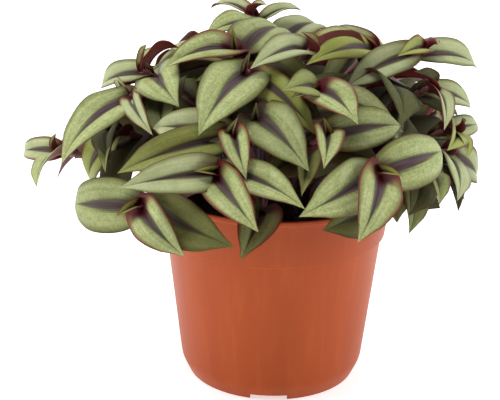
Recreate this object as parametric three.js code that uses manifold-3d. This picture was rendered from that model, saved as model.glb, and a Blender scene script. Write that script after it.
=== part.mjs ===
// A tradescantia with striped leaves, growing as a low dome in a round nursery pot.
// Millimetres, +Z up; the origin is the centre of the pot's underside, where it stands.
// The pot, the soil and every leafy stem are meshes of their own. A stem carries its leaves in two
// ranks, youngest and smallest at the tip, and each leaf is a thin blade folded along its midrib.
import * as THREE from "three";
import { mergeVertices } from "three/addons/utils/BufferGeometryUtils.js";
import Module from "manifold-3d";

const wasm = await Module();
wasm.setup();

// ---- Driving dimensions -------------------------------------------------------------------------

const POT = {
  height: 100,
  rimRadius: 60,
  lipHeight: 3.2,
  collarTopRadius: 58.2,
  collarBottomRadius: 55.2,
  collarBottom: 74.5,
  wallTopRadius: 53.6,
  wallBottomRadius: 45.8,
  chamferTop: 9.5,
  footRadius: 41.8,
  footWidth: 3,
  wall: 1.4,
  baseUnder: 3,
  baseTop: 4.5,
  padRadius: 12,
  ledge: 0.6, // rise of the ledge under the collar
  lipSlope: 1.2, // rise of the slope under the lip
  rimRound: 0.8,
  stepAbove: 1.5, // the step inside the wall, above and below the collar's lower edge
  stepBelow: 1,
  segments: 40,
};
const NOTCH = { count: 4, width: 18, height: 2.4, firstAngle: -92 };
const DRAIN = { count: 6, radius: 3.6, ring: 27, sides: 10 };
const SOIL = {
  top: 90,
  gap: 0.3,
  segments: 28,
  rings: 4,
  relief: 1.2,
  waveX: 0.27, // radians for each mm
  waveY: 0.22,
  waveAcross: 0.13,
};
const STEM = { radius: 1.9, tipRadius: 1.3, sides: 4, steps: 5, sunk: 9, stand: 3 };
const HOLE = { radius: 2.5, sides: 6 };
const ROOT_SHARE = 0.37; // how far out a stem is rooted, against how far out its tip is
const RISE_SHARE = 0.62; // how much of its height a stem gains before it leans out
const LEAST_RISE = 52; // mm, so that a low stem still clears the rim
const TIP_RUN = 0.34; // how much of a stem's span runs along its tip's heading
const HEADING = { outward: 0.9, up: 0.5 };
const HEART = new THREE.Vector3(-6, 6, 100); // leaves face away from here
const UP = new THREE.Vector3(0, 0, 1);
const LIGHT = new THREE.Vector3(0, -0.8, 0.6); // the stated leaves turn somewhat towards this
const LIGHT_SHARE = 0.6;

// How far back from the tip each leaf stands on its stem, and how long it grows.
const NODE_BACK = [1, 3, 6, 11, 22, 36, 51, 67];
const LEAF_LENGTH = [13, 25, 38, 47, 52, 53, 50, 46];
const LEAF_SLENDER = [0.36, 0.44, 0.48, 0.5, 0.5, 0.5, 0.5, 0.5]; // width for each mm of length
const LEAF_FOLD = [62, 42, 26, 18, 15, 14, 14, 14]; // degrees that each half rises from flat
const YOUNG = 2; // leaves nearer the tip than this are small
const BLADE = {
  thickness: 1.4,
  rows: [0.1, 0.37, 0.72],
  fewRows: [0.17, 0.6], // for the small leaves and for those that are placed by rule
  arch: 0.15,
  clear: 2.1, // thickness and widening of a blade while it is tried for a free place
  widening: 1.04,
  ownClearFrom: 0.35, // from here to its point a leaf keeps clear of its own stem's leaves too
  breadth: 0.45, // how gently a blade narrows to its base: the power of the outline there
  taper: 0.85, // how gently it narrows to its point
  fullness: 0.6, // how much fuller it is towards its point
  widest: 0.43, // where along its length it is widest
};
const BARE_BASE = 16; // the lowest stretch of a stem has no leaves

// How a leaf that is placed by rule leaves its stem; each spread is the whole range of its draw.
const GROWTH = {
  rankSpread: 0.9, // radians that a stem's two ranks are turned about it
  turnSpread: 0.7, // radians that one leaf is turned about the stem
  forward: 0.55,
  forwardSpread: 0.5,
  lift: 0.12,
  droop: 0.07, // less lift for each older leaf
  liftSpread: 0.3,
  lengthSpread: 0.22,
  rollSpread: 40, // degrees
};

// Turns tried for a leaf whose place is taken: pitch and yaw in degrees, and a share of its size.
const TURNS = [
  [0, 0, 1],
  [4, 0, 1],
  [-4, 0, 1],
  [0, 5, 1],
  [0, -5, 1],
  [8, 0, 0.98],
  [-8, 0, 0.98],
  [0, 11, 0.98],
  [0, -11, 0.98],
  [12, 0, 0.96],
  [-12, 0, 0.96],
  [8, 12, 0.94],
  [-8, -12, 0.94],
  [8, -12, 0.94],
  [-8, 12, 0.94],
  [18, 0, 0.92],
  [-18, 0, 0.92],
  [0, 24, 0.9],
  [0, -24, 0.9],
  [26, 0, 0.88],
  [-26, 0, 0.88],
  [18, 26, 0.82],
  [-18, -26, 0.82],
  [18, -26, 0.82],
  [-18, 26, 0.82],
  [36, 10, 0.76],
  [-36, -10, 0.76],
  [0, 0, 0.62],
  [20, 20, 0.6],
  [-20, -20, 0.6],
];

// The leafy stems that show from the front. tip is where the stem ends. Each leaf, youngest first, is
// how far its point reaches from there (x, y, z), then its width, and its fold and roll in degrees.
// A bare stem carries only these leaves, and others grow older leaves by rule behind them.
const SHOOTS = [
  {
    name: "crown",
    tip: [-13, 10, 179],
    leaves: [
      [7, -10, 9, 9, 40, 0],
      [-20, 18, 1, 12, 40, 0],
      [25, 10, 2, 10, 40, 0],
      [-21, -27, -2, 19, 18, 0],
    ],
  },
  {
    name: "crown_front",
    tip: [-20, -38, 174],
    leaves: [
      [-1, -3, 12, 7, 60, 0],
      [-30, -20, -1, 19, 30, 0],
      [23, 40, 1, 27, 10, 0],
    ],
  },
  {
    name: "upper_left",
    tip: [-63, -32, 163],
    leaves: [
      [2, 7, 11, 7, 60, 0],
      [16, 19, 7, 13, 60, -35],
      [-21, 17, -13, 16, 34, 0],
      [18, -35, -5, 26, 20, 0],
    ],
  },
  {
    name: "left",
    bare: true,
    tip: [-68, -42, 154],
    leaves: [
      [-6, 12, 4, 7, 50, 0],
      [12, -31, -8, 13, 34, 0],
      [-28, -31, -21, 24, 14, 0],
    ],
  },
  {
    name: "far_left",
    bare: true,
    tip: [-100, -26, 122],
    leaves: [
      [-3, -9, 11, 8, 55, 0],
      [-23, 18, -7, 14, 30, 0],
      [-10, -32, -6, 17, 24, 0],
    ],
  },
  {
    name: "left_inner",
    tip: [-76, -40, 138],
    leaves: [
      [4, -8, 8, 8, 50, 0],
      [1, -29, -6, 17, 18, 0],
      [-14, 17, -31, 21, 14, 0],
      [-1, -33, -9, 12, 36, 0],
    ],
  },
  {
    name: "centre",
    bare: true,
    tip: [-10, -70, 153],
    leaves: [
      [0, -8, 9, 8, 55, 0],
      [22, -35, -11, 26, 12, 0],
    ],
  },
  {
    name: "centre_top",
    tip: [-14, -53, 169],
    leaves: [
      [1, -7, 11, 7, 60, 0],
      [25, -22, -27, 17, 18, 0],
      [-20, -38, -16, 28, 12, 0],
    ],
  },
  {
    name: "mid_right",
    tip: [17, -62, 162],
    leaves: [
      [-12, -11, 1, 9, 52, 0],
      [16, -30, -3, 22, 12, 0],
      [-15, -24, 9, 18, 20, 0],
    ],
  },
  {
    name: "front",
    bare: true,
    tip: [-28, -96, 136],
    leaves: [
      [-7, -12, 5, 8, 48, 0],
      [19, -28, -15, 20, 24, 0],
      [-37, -22, 1, 20, 30, 0],
      [38, -22, -6, 19, 20, -24],
    ],
  },
  {
    name: "mid_left",
    bare: true,
    tip: [-20, -84, 150],
    leaves: [
      [2, -7, 9, 8, 55, 0],
      [6, -25, -11, 16, 40, 0],
      [-36, 17, -3, 19, 24, 0],
      [-47, -21, -7, 20, 30, 0],
    ],
  },
  {
    name: "low_left",
    bare: true,
    tip: [-60, -91, 119],
    leaves: [
      [-9, -11, -1, 8, 48, 0],
      [20, -25, -13, 20, 22, 0],
      [-33, 30, -11, 26, 10, 0],
      [40, -26, -8, 24, 14, 0],
    ],
  },
  {
    name: "rim_front",
    bare: true,
    tip: [-7, -83, 114],
    leaves: [
      [-2, -8, 9, 7, 50, 0],
      [-8, -29, -10, 21, 26, 0],
    ],
  },
  {
    name: "mid",
    tip: [20, -82, 149],
    leaves: [
      [-1, -7, 10, 8, 55, 0],
      [-1, -26, -5, 17, 40, 0],
      [35, 18, 0, 21, 14, 0],
    ],
  },
  {
    name: "low_right",
    bare: true,
    tip: [44, -90, 135],
    leaves: [
      [8, -11, 3, 8, 48, 0],
      [-10, -31, -19, 23, 20, 0],
      [31, 31, 1, 25, 10, 0],
      [-34, -29, -9, 24, 12, 0],
    ],
  },
  {
    name: "low_right_under",
    bare: true,
    tip: [41, -64, 109],
    leaves: [
      [-1, -8, 9, 7, 50, 0],
      [11, -31, 7, 24, 14, -10],
      [-20, -30, 1, 23, 12, 0],
    ],
  },
  {
    name: "upper_right",
    tip: [71, -4, 168],
    leaves: [
      [4, -9, 5, 8, 52, 0],
      [-15, -19, 2, 14, 46, 0],
      [-39, -15, -15, 19, 26, 0],
      [28, 19, -13, 19, 28, 0],
      [13, 17, -23, 16, 24, 115],
    ],
  },
  {
    name: "top_right",
    tip: [14, -38, 175],
    leaves: [
      [-4, -8, 11, 9, 62, 0],
      [27, 24, -1, 12, 60, -35],
      [-26, -27, 0, 18, 32, 0],
    ],
  },
  {
    name: "behind_right",
    tip: [49, 6, 164],
    leaves: [
      [-24, 4, 10, 10, 36, 0],
      [-33, -32, 0, 19, 22, 0],
      [13, -32, -25, 25, 10, 0],
    ],
  },
  {
    name: "right",
    tip: [73, -14, 152],
    leaves: [
      [-9, -11, 11, 12, 40, 0],
      [4, -31, -10, 14, 34, 0],
      [22, 12, -13, 15, 24, 0],
    ],
  },
  {
    name: "right_side",
    tip: [83, -18, 133],
    leaves: [
      [4, -8, 8, 8, 50, 0],
      [-4, -28, -1, 17, 30, 0],
      [6, -23, -6, 14, 28, 0],
      [16, 18, -3, 13, 26, 0],
    ],
  },
  {
    name: "right_low",
    tip: [80, -30, 126],
    leaves: [
      [1, -9, 8, 8, 50, 0],
      [18, 17, -20, 20, 14, 0],
      [3, -32, -12, 19, 12, 0],
    ],
  },
  {
    name: "right_fringe",
    tip: [66, -54, 124],
    leaves: [
      [1, -9, 8, 8, 50, 0],
      [6, -27, -5, 17, 24, 0],
      [-7, -29, -10, 20, 20, 0],
      [-15, -25, -21, 17, 20, 0],
    ],
  },
  {
    name: "mid_gap",
    bare: true,
    tip: [12, -78, 141],
    leaves: [
      [-2, -28, -10, 18, 32, 0],
      [-19, -22, -6, 19, 12, 0],
    ],
  },
];

// The rest of the dome is filled by more stems whose tips are spread evenly over it.
const DOME = {
  centre: new THREE.Vector3(-6, 6, 104),
  radius: new THREE.Vector3(90, 86, 54),
  points: 42,
  lowest: -0.08, // of the radius, below the centre
  clearance: 33, // least distance from the tip of a stated stem
};
// No leaf that is placed by rule reaches out of this rounded shape, or lower than this height.
const ENVELOPE = {
  centre: new THREE.Vector3(-6, 0, 100),
  radius: new THREE.Vector3(114, 102, 79),
  lowest: 99,
};
// Nor past this plane: the dome falls away at the back of its left side.
const SLOPE = { normal: new THREE.Vector3(-0.71, 0.24, 0.66), reach: 149 };

const COLOUR = { pot: 0xb9583a, soil: 0x2b211b, leaf: 0x93a66f };

// ---- Meshes and solids --------------------------------------------------------------------------

const radians = THREE.MathUtils.degToRad;
const vector = (values) => new THREE.Vector3(...values);

// A closed geometry as a solid that can be joined and cut.
function solidOf(geometry) {
  const bare = new THREE.BufferGeometry();
  bare.setAttribute("position", geometry.getAttribute("position"));
  bare.setIndex(geometry.getIndex());
  const merged = mergeVertices(bare, 1e-4);
  return new wasm.Manifold(
    new wasm.Mesh({
      numProp: 3,
      vertProperties: new Float32Array(merged.getAttribute("position").array),
      triVerts: new Uint32Array(merged.getIndex().array),
    }),
  );
}

// A solid as a named mesh of the scene.
function meshOf(solid, name, material) {
  const made = solid.getMesh();
  const geometry = new THREE.BufferGeometry();
  geometry.setAttribute("position", new THREE.BufferAttribute(new Float32Array(made.vertProperties), 3));
  geometry.setIndex(new THREE.BufferAttribute(new Uint32Array(made.triVerts), 1));
  geometry.computeVertexNormals();
  const mesh = new THREE.Mesh(geometry, material);
  mesh.name = name;
  return mesh;
}

// A ring profile of [radius, height] points turned round the Z axis.
function turned(points, segments) {
  const profile = points.map(([radius, height]) => new THREE.Vector2(radius, height));
  return new THREE.LatheGeometry(profile, segments).rotateX(Math.PI / 2);
}

// An upright cylinder whose lower end is at the given height.
function post(radius, low, high, sides, x, y) {
  return new THREE.CylinderGeometry(radius, radius, high - low, sides)
    .rotateX(Math.PI / 2)
    .translate(x, y, (low + high) / 2);
}

// Repeatable random numbers from 0 to 1.
function seeded(seed) {
  let state = seed >>> 0;
  return () => {
    state = (Math.imul(state, 1664525) + 1013904223) >>> 0;
    return state / 2 ** 32;
  };
}

// ---- Pot and soil -------------------------------------------------------------------------------

function potSolid() {
  const { wall } = POT;
  const outer = [
    [0, 0],
    [POT.padRadius, 0],
    [POT.padRadius, POT.baseUnder],
    [POT.footRadius - POT.footWidth, POT.baseUnder],
    [POT.footRadius - POT.footWidth, 0],
    [POT.footRadius, 0],
    [POT.wallBottomRadius, POT.chamferTop],
    [POT.wallTopRadius, POT.collarBottom],
    [POT.collarBottomRadius, POT.collarBottom + POT.ledge],
    [POT.collarTopRadius, POT.height - POT.lipHeight],
    [POT.rimRadius, POT.height - POT.lipHeight + POT.lipSlope],
    [POT.rimRadius, POT.height - POT.rimRound],
    [POT.rimRadius - POT.rimRound, POT.height],
  ];
  const inner = [
    [POT.collarTopRadius - wall, POT.height],
    [POT.collarBottomRadius - wall, POT.collarBottom + POT.stepAbove],
    [POT.wallTopRadius - wall, POT.collarBottom - POT.stepBelow],
    [POT.wallBottomRadius - wall, POT.chamferTop],
    [POT.footRadius - wall, POT.baseTop],
    [0, POT.baseTop],
  ];
  let pot = solidOf(turned([...outer, ...inner], POT.segments));
  for (let i = 0; i < NOTCH.count; i++) {
    const notch = new THREE.BoxGeometry(POT.footWidth * 3, NOTCH.width, NOTCH.height * 2)
      .translate(POT.footRadius, 0, 0)
      .rotateZ(radians(NOTCH.firstAngle + (360 / NOTCH.count) * i));
    pot = pot.subtract(solidOf(notch));
  }
  for (let i = 0; i < DRAIN.count; i++) {
    const angle = (2 * Math.PI * (i + 0.5)) / DRAIN.count;
    const [x, y] = [DRAIN.ring * Math.cos(angle), DRAIN.ring * Math.sin(angle)];
    pot = pot.subtract(solidOf(post(DRAIN.radius, 0, POT.baseTop * 2, DRAIN.sides, x, y)));
  }
  return pot;
}

// The soil's surface is low waves of crumbs.
function soilHeight(x, y) {
  const waves = Math.sin(x * SOIL.waveX + 1) * Math.cos(y * SOIL.waveY) + Math.sin((x + y) * SOIL.waveAcross);
  return SOIL.top + (SOIL.relief * waves) / 2;
}

function soilSolid(stems) {
  const inset = POT.wall + SOIL.gap;
  const collarSlope = (POT.collarTopRadius - POT.collarBottomRadius) / (POT.height - POT.collarBottom);
  const edge = POT.collarBottomRadius - inset + collarSlope * (SOIL.top - POT.collarBottom) - SOIL.gap;
  const profile = [
    [0, POT.baseTop + SOIL.gap],
    [POT.footRadius - inset - SOIL.gap, POT.baseTop + SOIL.gap],
    [POT.wallBottomRadius - inset, POT.chamferTop + SOIL.gap],
    [POT.wallTopRadius - inset, POT.collarBottom - POT.stepBelow],
    [POT.collarBottomRadius - inset - SOIL.gap, POT.collarBottom + POT.stepAbove],
  ];
  for (let ring = SOIL.rings; ring >= 0; ring--) profile.push([(edge * ring) / SOIL.rings, SOIL.top]);
  const geometry = turned(profile, SOIL.segments);
  const position = geometry.getAttribute("position");
  for (let i = 0; i < position.count; i++) {
    const [x, y, z] = [position.getX(i), position.getY(i), position.getZ(i)];
    if (z === SOIL.top) position.setZ(i, soilHeight(x, y));
  }
  let soil = solidOf(geometry);
  for (const { root } of stems) {
    const low = SOIL.top - STEM.sunk - SOIL.gap;
    soil = soil.subtract(solidOf(post(HOLE.radius, low, SOIL.top * 2, HOLE.sides, root.x, root.y)));
  }
  return soil;
}

// ---- Leaves -------------------------------------------------------------------------------------

// The way a blade lies: along its chord, across it, and out of its face.
function bladeFrame({ base, reach, roll, light }) {
  const along = reach.clone().normalize();
  const face = base.clone().addScaledVector(reach, 0.5).sub(HEART).normalize();
  face.addScaledVector(LIGHT, light);
  face.addScaledVector(along, -face.dot(along)).normalize();
  face.applyAxisAngle(along, radians(roll));
  return { along, face, across: face.clone().cross(along) };
}

// Half the blade's width at a share t of its length: rounded at the base, drawn out at the point.
function halfWidth(width, t) {
  const outline = (share) => share ** BLADE.breadth * (1 - share) ** BLADE.taper * (1 + BLADE.fullness * share);
  return ((width / 2) * outline(t)) / outline(BLADE.widest);
}

// A leaf's blade, folded along its midrib and arched over its length, thickest at the midrib. It
// springs from a point inside the stem. A blade that starts further out is only its outer part.
function bladeSolid(leaf, thickness, from = 0) {
  const { base, reach, width, fold } = leaf;
  const { face, across } = bladeFrame(leaf);
  const rise = Math.sin(radians(fold));
  const flat = Math.cos(radians(fold));
  const arch = BLADE.arch * reach.length();
  const midrib = (t) => base.clone().addScaledVector(reach, t).addScaledVector(face, arch * 4 * t * (1 - t));
  const rows = (leaf.age < YOUNG || !leaf.stated ? BLADE.fewRows : BLADE.rows).filter((t) => t > from);
  const corners = [midrib(from)];
  for (const t of rows) {
    const centre = midrib(t);
    const half = halfWidth(width, t);
    const raised = centre.clone().addScaledVector(face, half * rise);
    const edge = (sign) => raised.clone().addScaledVector(across, sign * half * flat);
    corners.push(centre.clone().addScaledVector(face, thickness / 2), edge(1));
    corners.push(centre.clone().addScaledVector(face, -thickness / 2), edge(-1));
  }
  corners.push(midrib(1));
  const triangles = [];
  const end = corners.length - 1;
  for (let side = 0; side < 4; side++) {
    const next = (side + 1) % 4;
    triangles.push(0, 1 + side, 1 + next);
    for (let row = 0; row < rows.length - 1; row++) {
      const [here, there] = [1 + 4 * row, 5 + 4 * row];
      // The diagonals run from the midrib outwards and forwards on both faces alike.
      if (side % 2 === 0) {
        triangles.push(here + side, there + next, here + next);
        triangles.push(here + side, there + side, there + next);
      } else {
        triangles.push(here + side, there + side, here + next);
        triangles.push(here + next, there + side, there + next);
      }
    }
    triangles.push(end, end - 4 + next, end - 4 + side);
  }
  const geometry = new THREE.BufferGeometry();
  geometry.setAttribute("position", new THREE.Float32BufferAttribute(corners.flatMap((c) => c.toArray()), 3));
  geometry.setIndex(triangles);
  return solidOf(geometry);
}

// The same leaf turned about its base and made a little smaller.
function turnedLeaf(leaf, [pitch, yaw, share]) {
  const { face, across } = bladeFrame(leaf);
  const reach = leaf.reach
    .clone()
    .applyAxisAngle(across, radians(-pitch))
    .applyAxisAngle(face, radians(yaw))
    .multiplyScalar(share);
  return { ...leaf, reach, width: leaf.width * share };
}

// ---- Stems --------------------------------------------------------------------------------------

// A stem rises from its root and leans out to its tip, all in one upright plane.
function stemOf(shoot, seed) {
  const tip = vector(shoot.tip);
  const root = new THREE.Vector3(tip.x * ROOT_SHARE, tip.y * ROOT_SHARE, SOIL.top + STEM.stand);
  const outward = new THREE.Vector3(tip.x, tip.y, 0).normalize();
  const heading = outward.clone().multiplyScalar(HEADING.outward).addScaledVector(UP, HEADING.up).normalize();
  const span = tip.distanceTo(root);
  const rise = Math.max(tip.z - root.z, LEAST_RISE) * RISE_SHARE;
  const path = new THREE.CubicBezierCurve3(
    root,
    root.clone().addScaledVector(UP, rise),
    tip.clone().addScaledVector(heading, -span * TIP_RUN),
    tip,
  );
  return { ...shoot, root, tip, path, sideways: outward.cross(UP), random: seeded(seed) };
}

// A stem's shaft: an upright foot in the soil, then rings along its path, slimmer towards the tip.
function stemSolid({ path, root, sideways }) {
  const rings = [{ centre: root.clone().setZ(SOIL.top - STEM.sunk), forward: UP, radius: STEM.radius }];
  for (let step = 0; step <= STEM.steps; step++) {
    const share = step / STEM.steps;
    const radius = THREE.MathUtils.lerp(STEM.radius, STEM.tipRadius, share);
    rings.push({ centre: path.getPoint(share), forward: path.getTangent(share), radius });
  }
  const corners = rings.flatMap(({ centre, forward, radius }) => {
    const front = sideways.clone().cross(forward);
    return Array.from({ length: STEM.sides }, (_, side) => {
      const angle = (2 * Math.PI * side) / STEM.sides;
      const [right, ahead] = [radius * Math.cos(angle), radius * Math.sin(angle)];
      return centre.clone().addScaledVector(sideways, right).addScaledVector(front, -ahead);
    });
  });
  const triangles = [];
  const last = (rings.length - 1) * STEM.sides;
  for (let side = 0; side < STEM.sides; side++) {
    const next = (side + 1) % STEM.sides;
    for (let ring = 0; ring < last; ring += STEM.sides) {
      const above = ring + STEM.sides;
      triangles.push(ring + side, ring + next, above + next, ring + side, above + next, above + side);
    }
    if (side > 0 && next > 0) triangles.push(0, next, side, last, last + side, last + next);
  }
  const geometry = new THREE.BufferGeometry();
  geometry.setAttribute("position", new THREE.Float32BufferAttribute(corners.flatMap((c) => c.toArray()), 3));
  geometry.setIndex(triangles);
  return solidOf(geometry);
}

// Every leaf of a stem, youngest first: those stated for it, then older ones in two ranks.
function leavesOf(stem) {
  const { path, tip, sideways, random, leaves: stated = [] } = stem;
  const length = path.getLength();
  const rankTurn = (random() - 0.5) * GROWTH.rankSpread;
  const firstSide = random() < 0.5 ? -1 : 1;
  const leaves = [];
  NODE_BACK.forEach((back, age) => {
    const draws = [random(), random(), random(), random()].map((draw) => draw - 0.5);
    if (back > length - BARE_BASE) return;
    const at = 1 - back / length;
    const base = path.getPointAt(at);
    const known = stated[age];
    if (known) {
      const [x, y, z, width, fold, roll] = known;
      const reach = tip.clone().add(new THREE.Vector3(x, y, z)).sub(base);
      leaves.push({ base, reach, width, fold, roll, age, light: LIGHT_SHARE, stated: true });
      return;
    }
    if (stem.bare) return;
    const tangent = path.getTangentAt(at);
    const side = sideways.clone().multiplyScalar(age % 2 ? firstSide : -firstSide);
    const reach = side
      .applyAxisAngle(tangent, rankTurn + draws[0] * GROWTH.turnSpread)
      .addScaledVector(tangent, GROWTH.forward + draws[1] * GROWTH.forwardSpread)
      .addScaledVector(UP, GROWTH.lift - GROWTH.droop * age + draws[2] * GROWTH.liftSpread)
      .normalize()
      .multiplyScalar(LEAF_LENGTH[age] * (1 + draws[3] * GROWTH.lengthSpread));
    const width = reach.length() * LEAF_SLENDER[age];
    const roll = draws[0] * GROWTH.rollSpread;
    leaves.push({ base, reach, width, fold: LEAF_FOLD[age], roll, age, light: 0, stated: false });
  });
  return leaves;
}

// Tips spread evenly over the dome, where no stated stem ends nearby.
function fillShoots() {
  const golden = Math.PI * (3 - Math.sqrt(5));
  const shoots = [];
  for (let i = 0; i < DOME.points; i++) {
    const height = 1 - ((1 - DOME.lowest) * (i + 0.5)) / DOME.points;
    const ring = Math.sqrt(1 - height * height);
    const tip = new THREE.Vector3(ring * Math.cos(i * golden), ring * Math.sin(i * golden), height)
      .multiply(DOME.radius)
      .add(DOME.centre);
    const taken = SHOOTS.some((shoot) => vector(shoot.tip).distanceTo(tip) < DOME.clearance);
    if (!taken) shoots.push({ name: `fill_${shoots.length + 1}`, tip: tip.toArray() });
  }
  return shoots;
}

// ---- The plant ----------------------------------------------------------------------------------

function isInEnvelope(point) {
  const isRound = point.clone().sub(ENVELOPE.centre).divide(ENVELOPE.radius).length() < 1;
  return isRound && point.z > ENVELOPE.lowest && point.dot(SLOPE.normal) < SLOPE.reach;
}

function boxOf(solid) {
  const { min, max } = solid.boundingBox();
  return new THREE.Box3(vector(min), vector(max));
}

// Leaves are set one by one where nothing else is, and one with no free place is left out.
function grow(stems) {
  const placed = stems.map((stem) => {
    const solid = stemSolid(stem);
    return { owner: stem, solid, outer: null, box: boxOf(solid) };
  });
  const pot = potSolid();
  placed.push({ owner: null, solid: pot, outer: null, box: boxOf(pot) });
  const blades = new Map(stems.map((stem) => [stem, []]));

  function isClear(leaf, stem) {
    if (!leaf.stated && !isInEnvelope(leaf.base.clone().add(leaf.reach))) return false;
    const widened = { ...leaf, width: leaf.width * BLADE.widening };
    const padded = bladeSolid(widened, BLADE.clear);
    const paddedOuter = bladeSolid(widened, BLADE.clear, BLADE.ownClearFrom);
    const box = boxOf(padded);
    return !placed.some((other) => {
      if (!other.box.intersectsBox(box)) return false;
      if (other.owner !== stem) return !other.solid.intersect(padded).isEmpty();
      return !leaf.stated && other.outer !== null && !other.outer.intersect(paddedOuter).isEmpty();
    });
  }

  const waiting = stems.flatMap((stem) => leavesOf(stem).map((leaf) => ({ stem, leaf })));
  waiting.sort((a, b) => Number(b.leaf.stated) - Number(a.leaf.stated));
  for (const { stem, leaf } of waiting) {
    const fitting = TURNS.map((turn) => turnedLeaf(leaf, turn)).find((turnedOne) => isClear(turnedOne, stem));
    if (!fitting) continue;
    const solid = bladeSolid(fitting, BLADE.thickness);
    const outer = bladeSolid(fitting, BLADE.thickness, BLADE.ownClearFrom);
    placed.push({ owner: stem, solid, outer, box: boxOf(solid) });
    blades.get(stem).push(solid);
  }
  return stems.map((stem) => ({
    name: `leafy_stem_${stem.name}`,
    solid: mainBody(blades.get(stem).reduce((whole, blade) => whole.add(blade), stemSolid(stem))),
  }));
}

// The largest body of a solid, without the crumbs that joining thin blades can leave.
function mainBody(solid) {
  return solid.decompose().reduce((largest, body) => (body.volume() > largest.volume() ? body : largest));
}

const material = {
  pot: new THREE.MeshStandardMaterial({ color: COLOUR.pot, roughness: 0.45, metalness: 0 }),
  soil: new THREE.MeshStandardMaterial({ color: COLOUR.soil, roughness: 0.95, metalness: 0 }),
  leaf: new THREE.MeshStandardMaterial({ color: COLOUR.leaf, roughness: 0.5, metalness: 0 }),
};

const stems = [...SHOOTS, ...fillShoots()].map((shoot, index) => stemOf(shoot, index + 1));
const plant = new THREE.Group();
plant.add(meshOf(potSolid(), "pot", material.pot));
plant.add(meshOf(soilSolid(stems), "soil", material.soil));
for (const { name, solid } of grow(stems)) plant.add(meshOf(solid, name, material.leaf));

export default plant;
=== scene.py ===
"""A potted tradescantia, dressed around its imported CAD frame.

Every piece is built in metres in the frame's own axes: +Z up, -Y towards the camera. The sizes of the
plant and of the pot are written in millimetres, as in the part's source. A stem or leaf that shows in
the photograph is stated by the pixel of its point, and the fitted camera gives its place. The packed
leafy stems say which of their leaves found a free place and how each was turned; the classes below
grow the same leaves again as smooth, striped, folded blades on round stems.
"""

from __future__ import annotations

import logging
import math
from collections.abc import Callable, Iterator, Sequence
from dataclasses import dataclass, field, replace
from enum import Enum
from typing import TypeAlias

import bmesh
import bpy
import numpy as np
from mathutils import Color, Matrix, Vector, noise


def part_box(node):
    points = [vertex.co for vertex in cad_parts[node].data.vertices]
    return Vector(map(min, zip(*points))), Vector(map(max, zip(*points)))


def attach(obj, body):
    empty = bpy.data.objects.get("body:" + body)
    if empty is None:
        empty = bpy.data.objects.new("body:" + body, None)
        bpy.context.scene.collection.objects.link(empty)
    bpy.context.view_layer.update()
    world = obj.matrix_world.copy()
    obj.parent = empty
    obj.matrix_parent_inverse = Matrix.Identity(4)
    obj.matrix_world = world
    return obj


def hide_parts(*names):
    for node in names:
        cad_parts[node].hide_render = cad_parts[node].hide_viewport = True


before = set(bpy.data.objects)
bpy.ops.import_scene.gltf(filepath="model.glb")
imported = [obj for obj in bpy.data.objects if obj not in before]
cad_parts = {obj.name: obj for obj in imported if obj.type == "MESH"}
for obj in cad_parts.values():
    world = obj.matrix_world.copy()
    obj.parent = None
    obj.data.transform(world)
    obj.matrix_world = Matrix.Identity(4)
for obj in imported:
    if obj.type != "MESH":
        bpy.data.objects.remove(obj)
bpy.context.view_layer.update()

LOG = logging.getLogger("tradescantia")
MM = 0.001
BODY = "root"
STEM_NODE = "leafy_stem_"

Axes = tuple[np.ndarray, np.ndarray, np.ndarray]
Colour = tuple[float, float, float]
Pixel = tuple[float, float]
Place = tuple[float, float, float]
Corner = tuple[float, float, float]


def vector(*values: float) -> np.ndarray:
    """The numbers as one vector."""
    return np.array(values, dtype=float)


def unit(direction: np.ndarray) -> np.ndarray:
    """The direction at length 1."""
    return direction / np.linalg.norm(direction)


def turned_about(point: np.ndarray, axis: np.ndarray, angle: float) -> np.ndarray:
    """Turns a vector about an axis.

    Args:
        point: The vector to turn.
        axis: The axis, of length 1.
        angle: The angle in radians.

    Returns:
        The turned vector.
    """
    cosine, sine = math.cos(angle), math.sin(angle)
    return point * cosine + np.cross(axis, point) * sine + axis * (axis @ point) * (1 - cosine)


RIGHT = vector(1, 0, 0)
UP = vector(0, 0, 1)


# ---- The photograph's camera ---------------------------------------------------------------------


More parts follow.
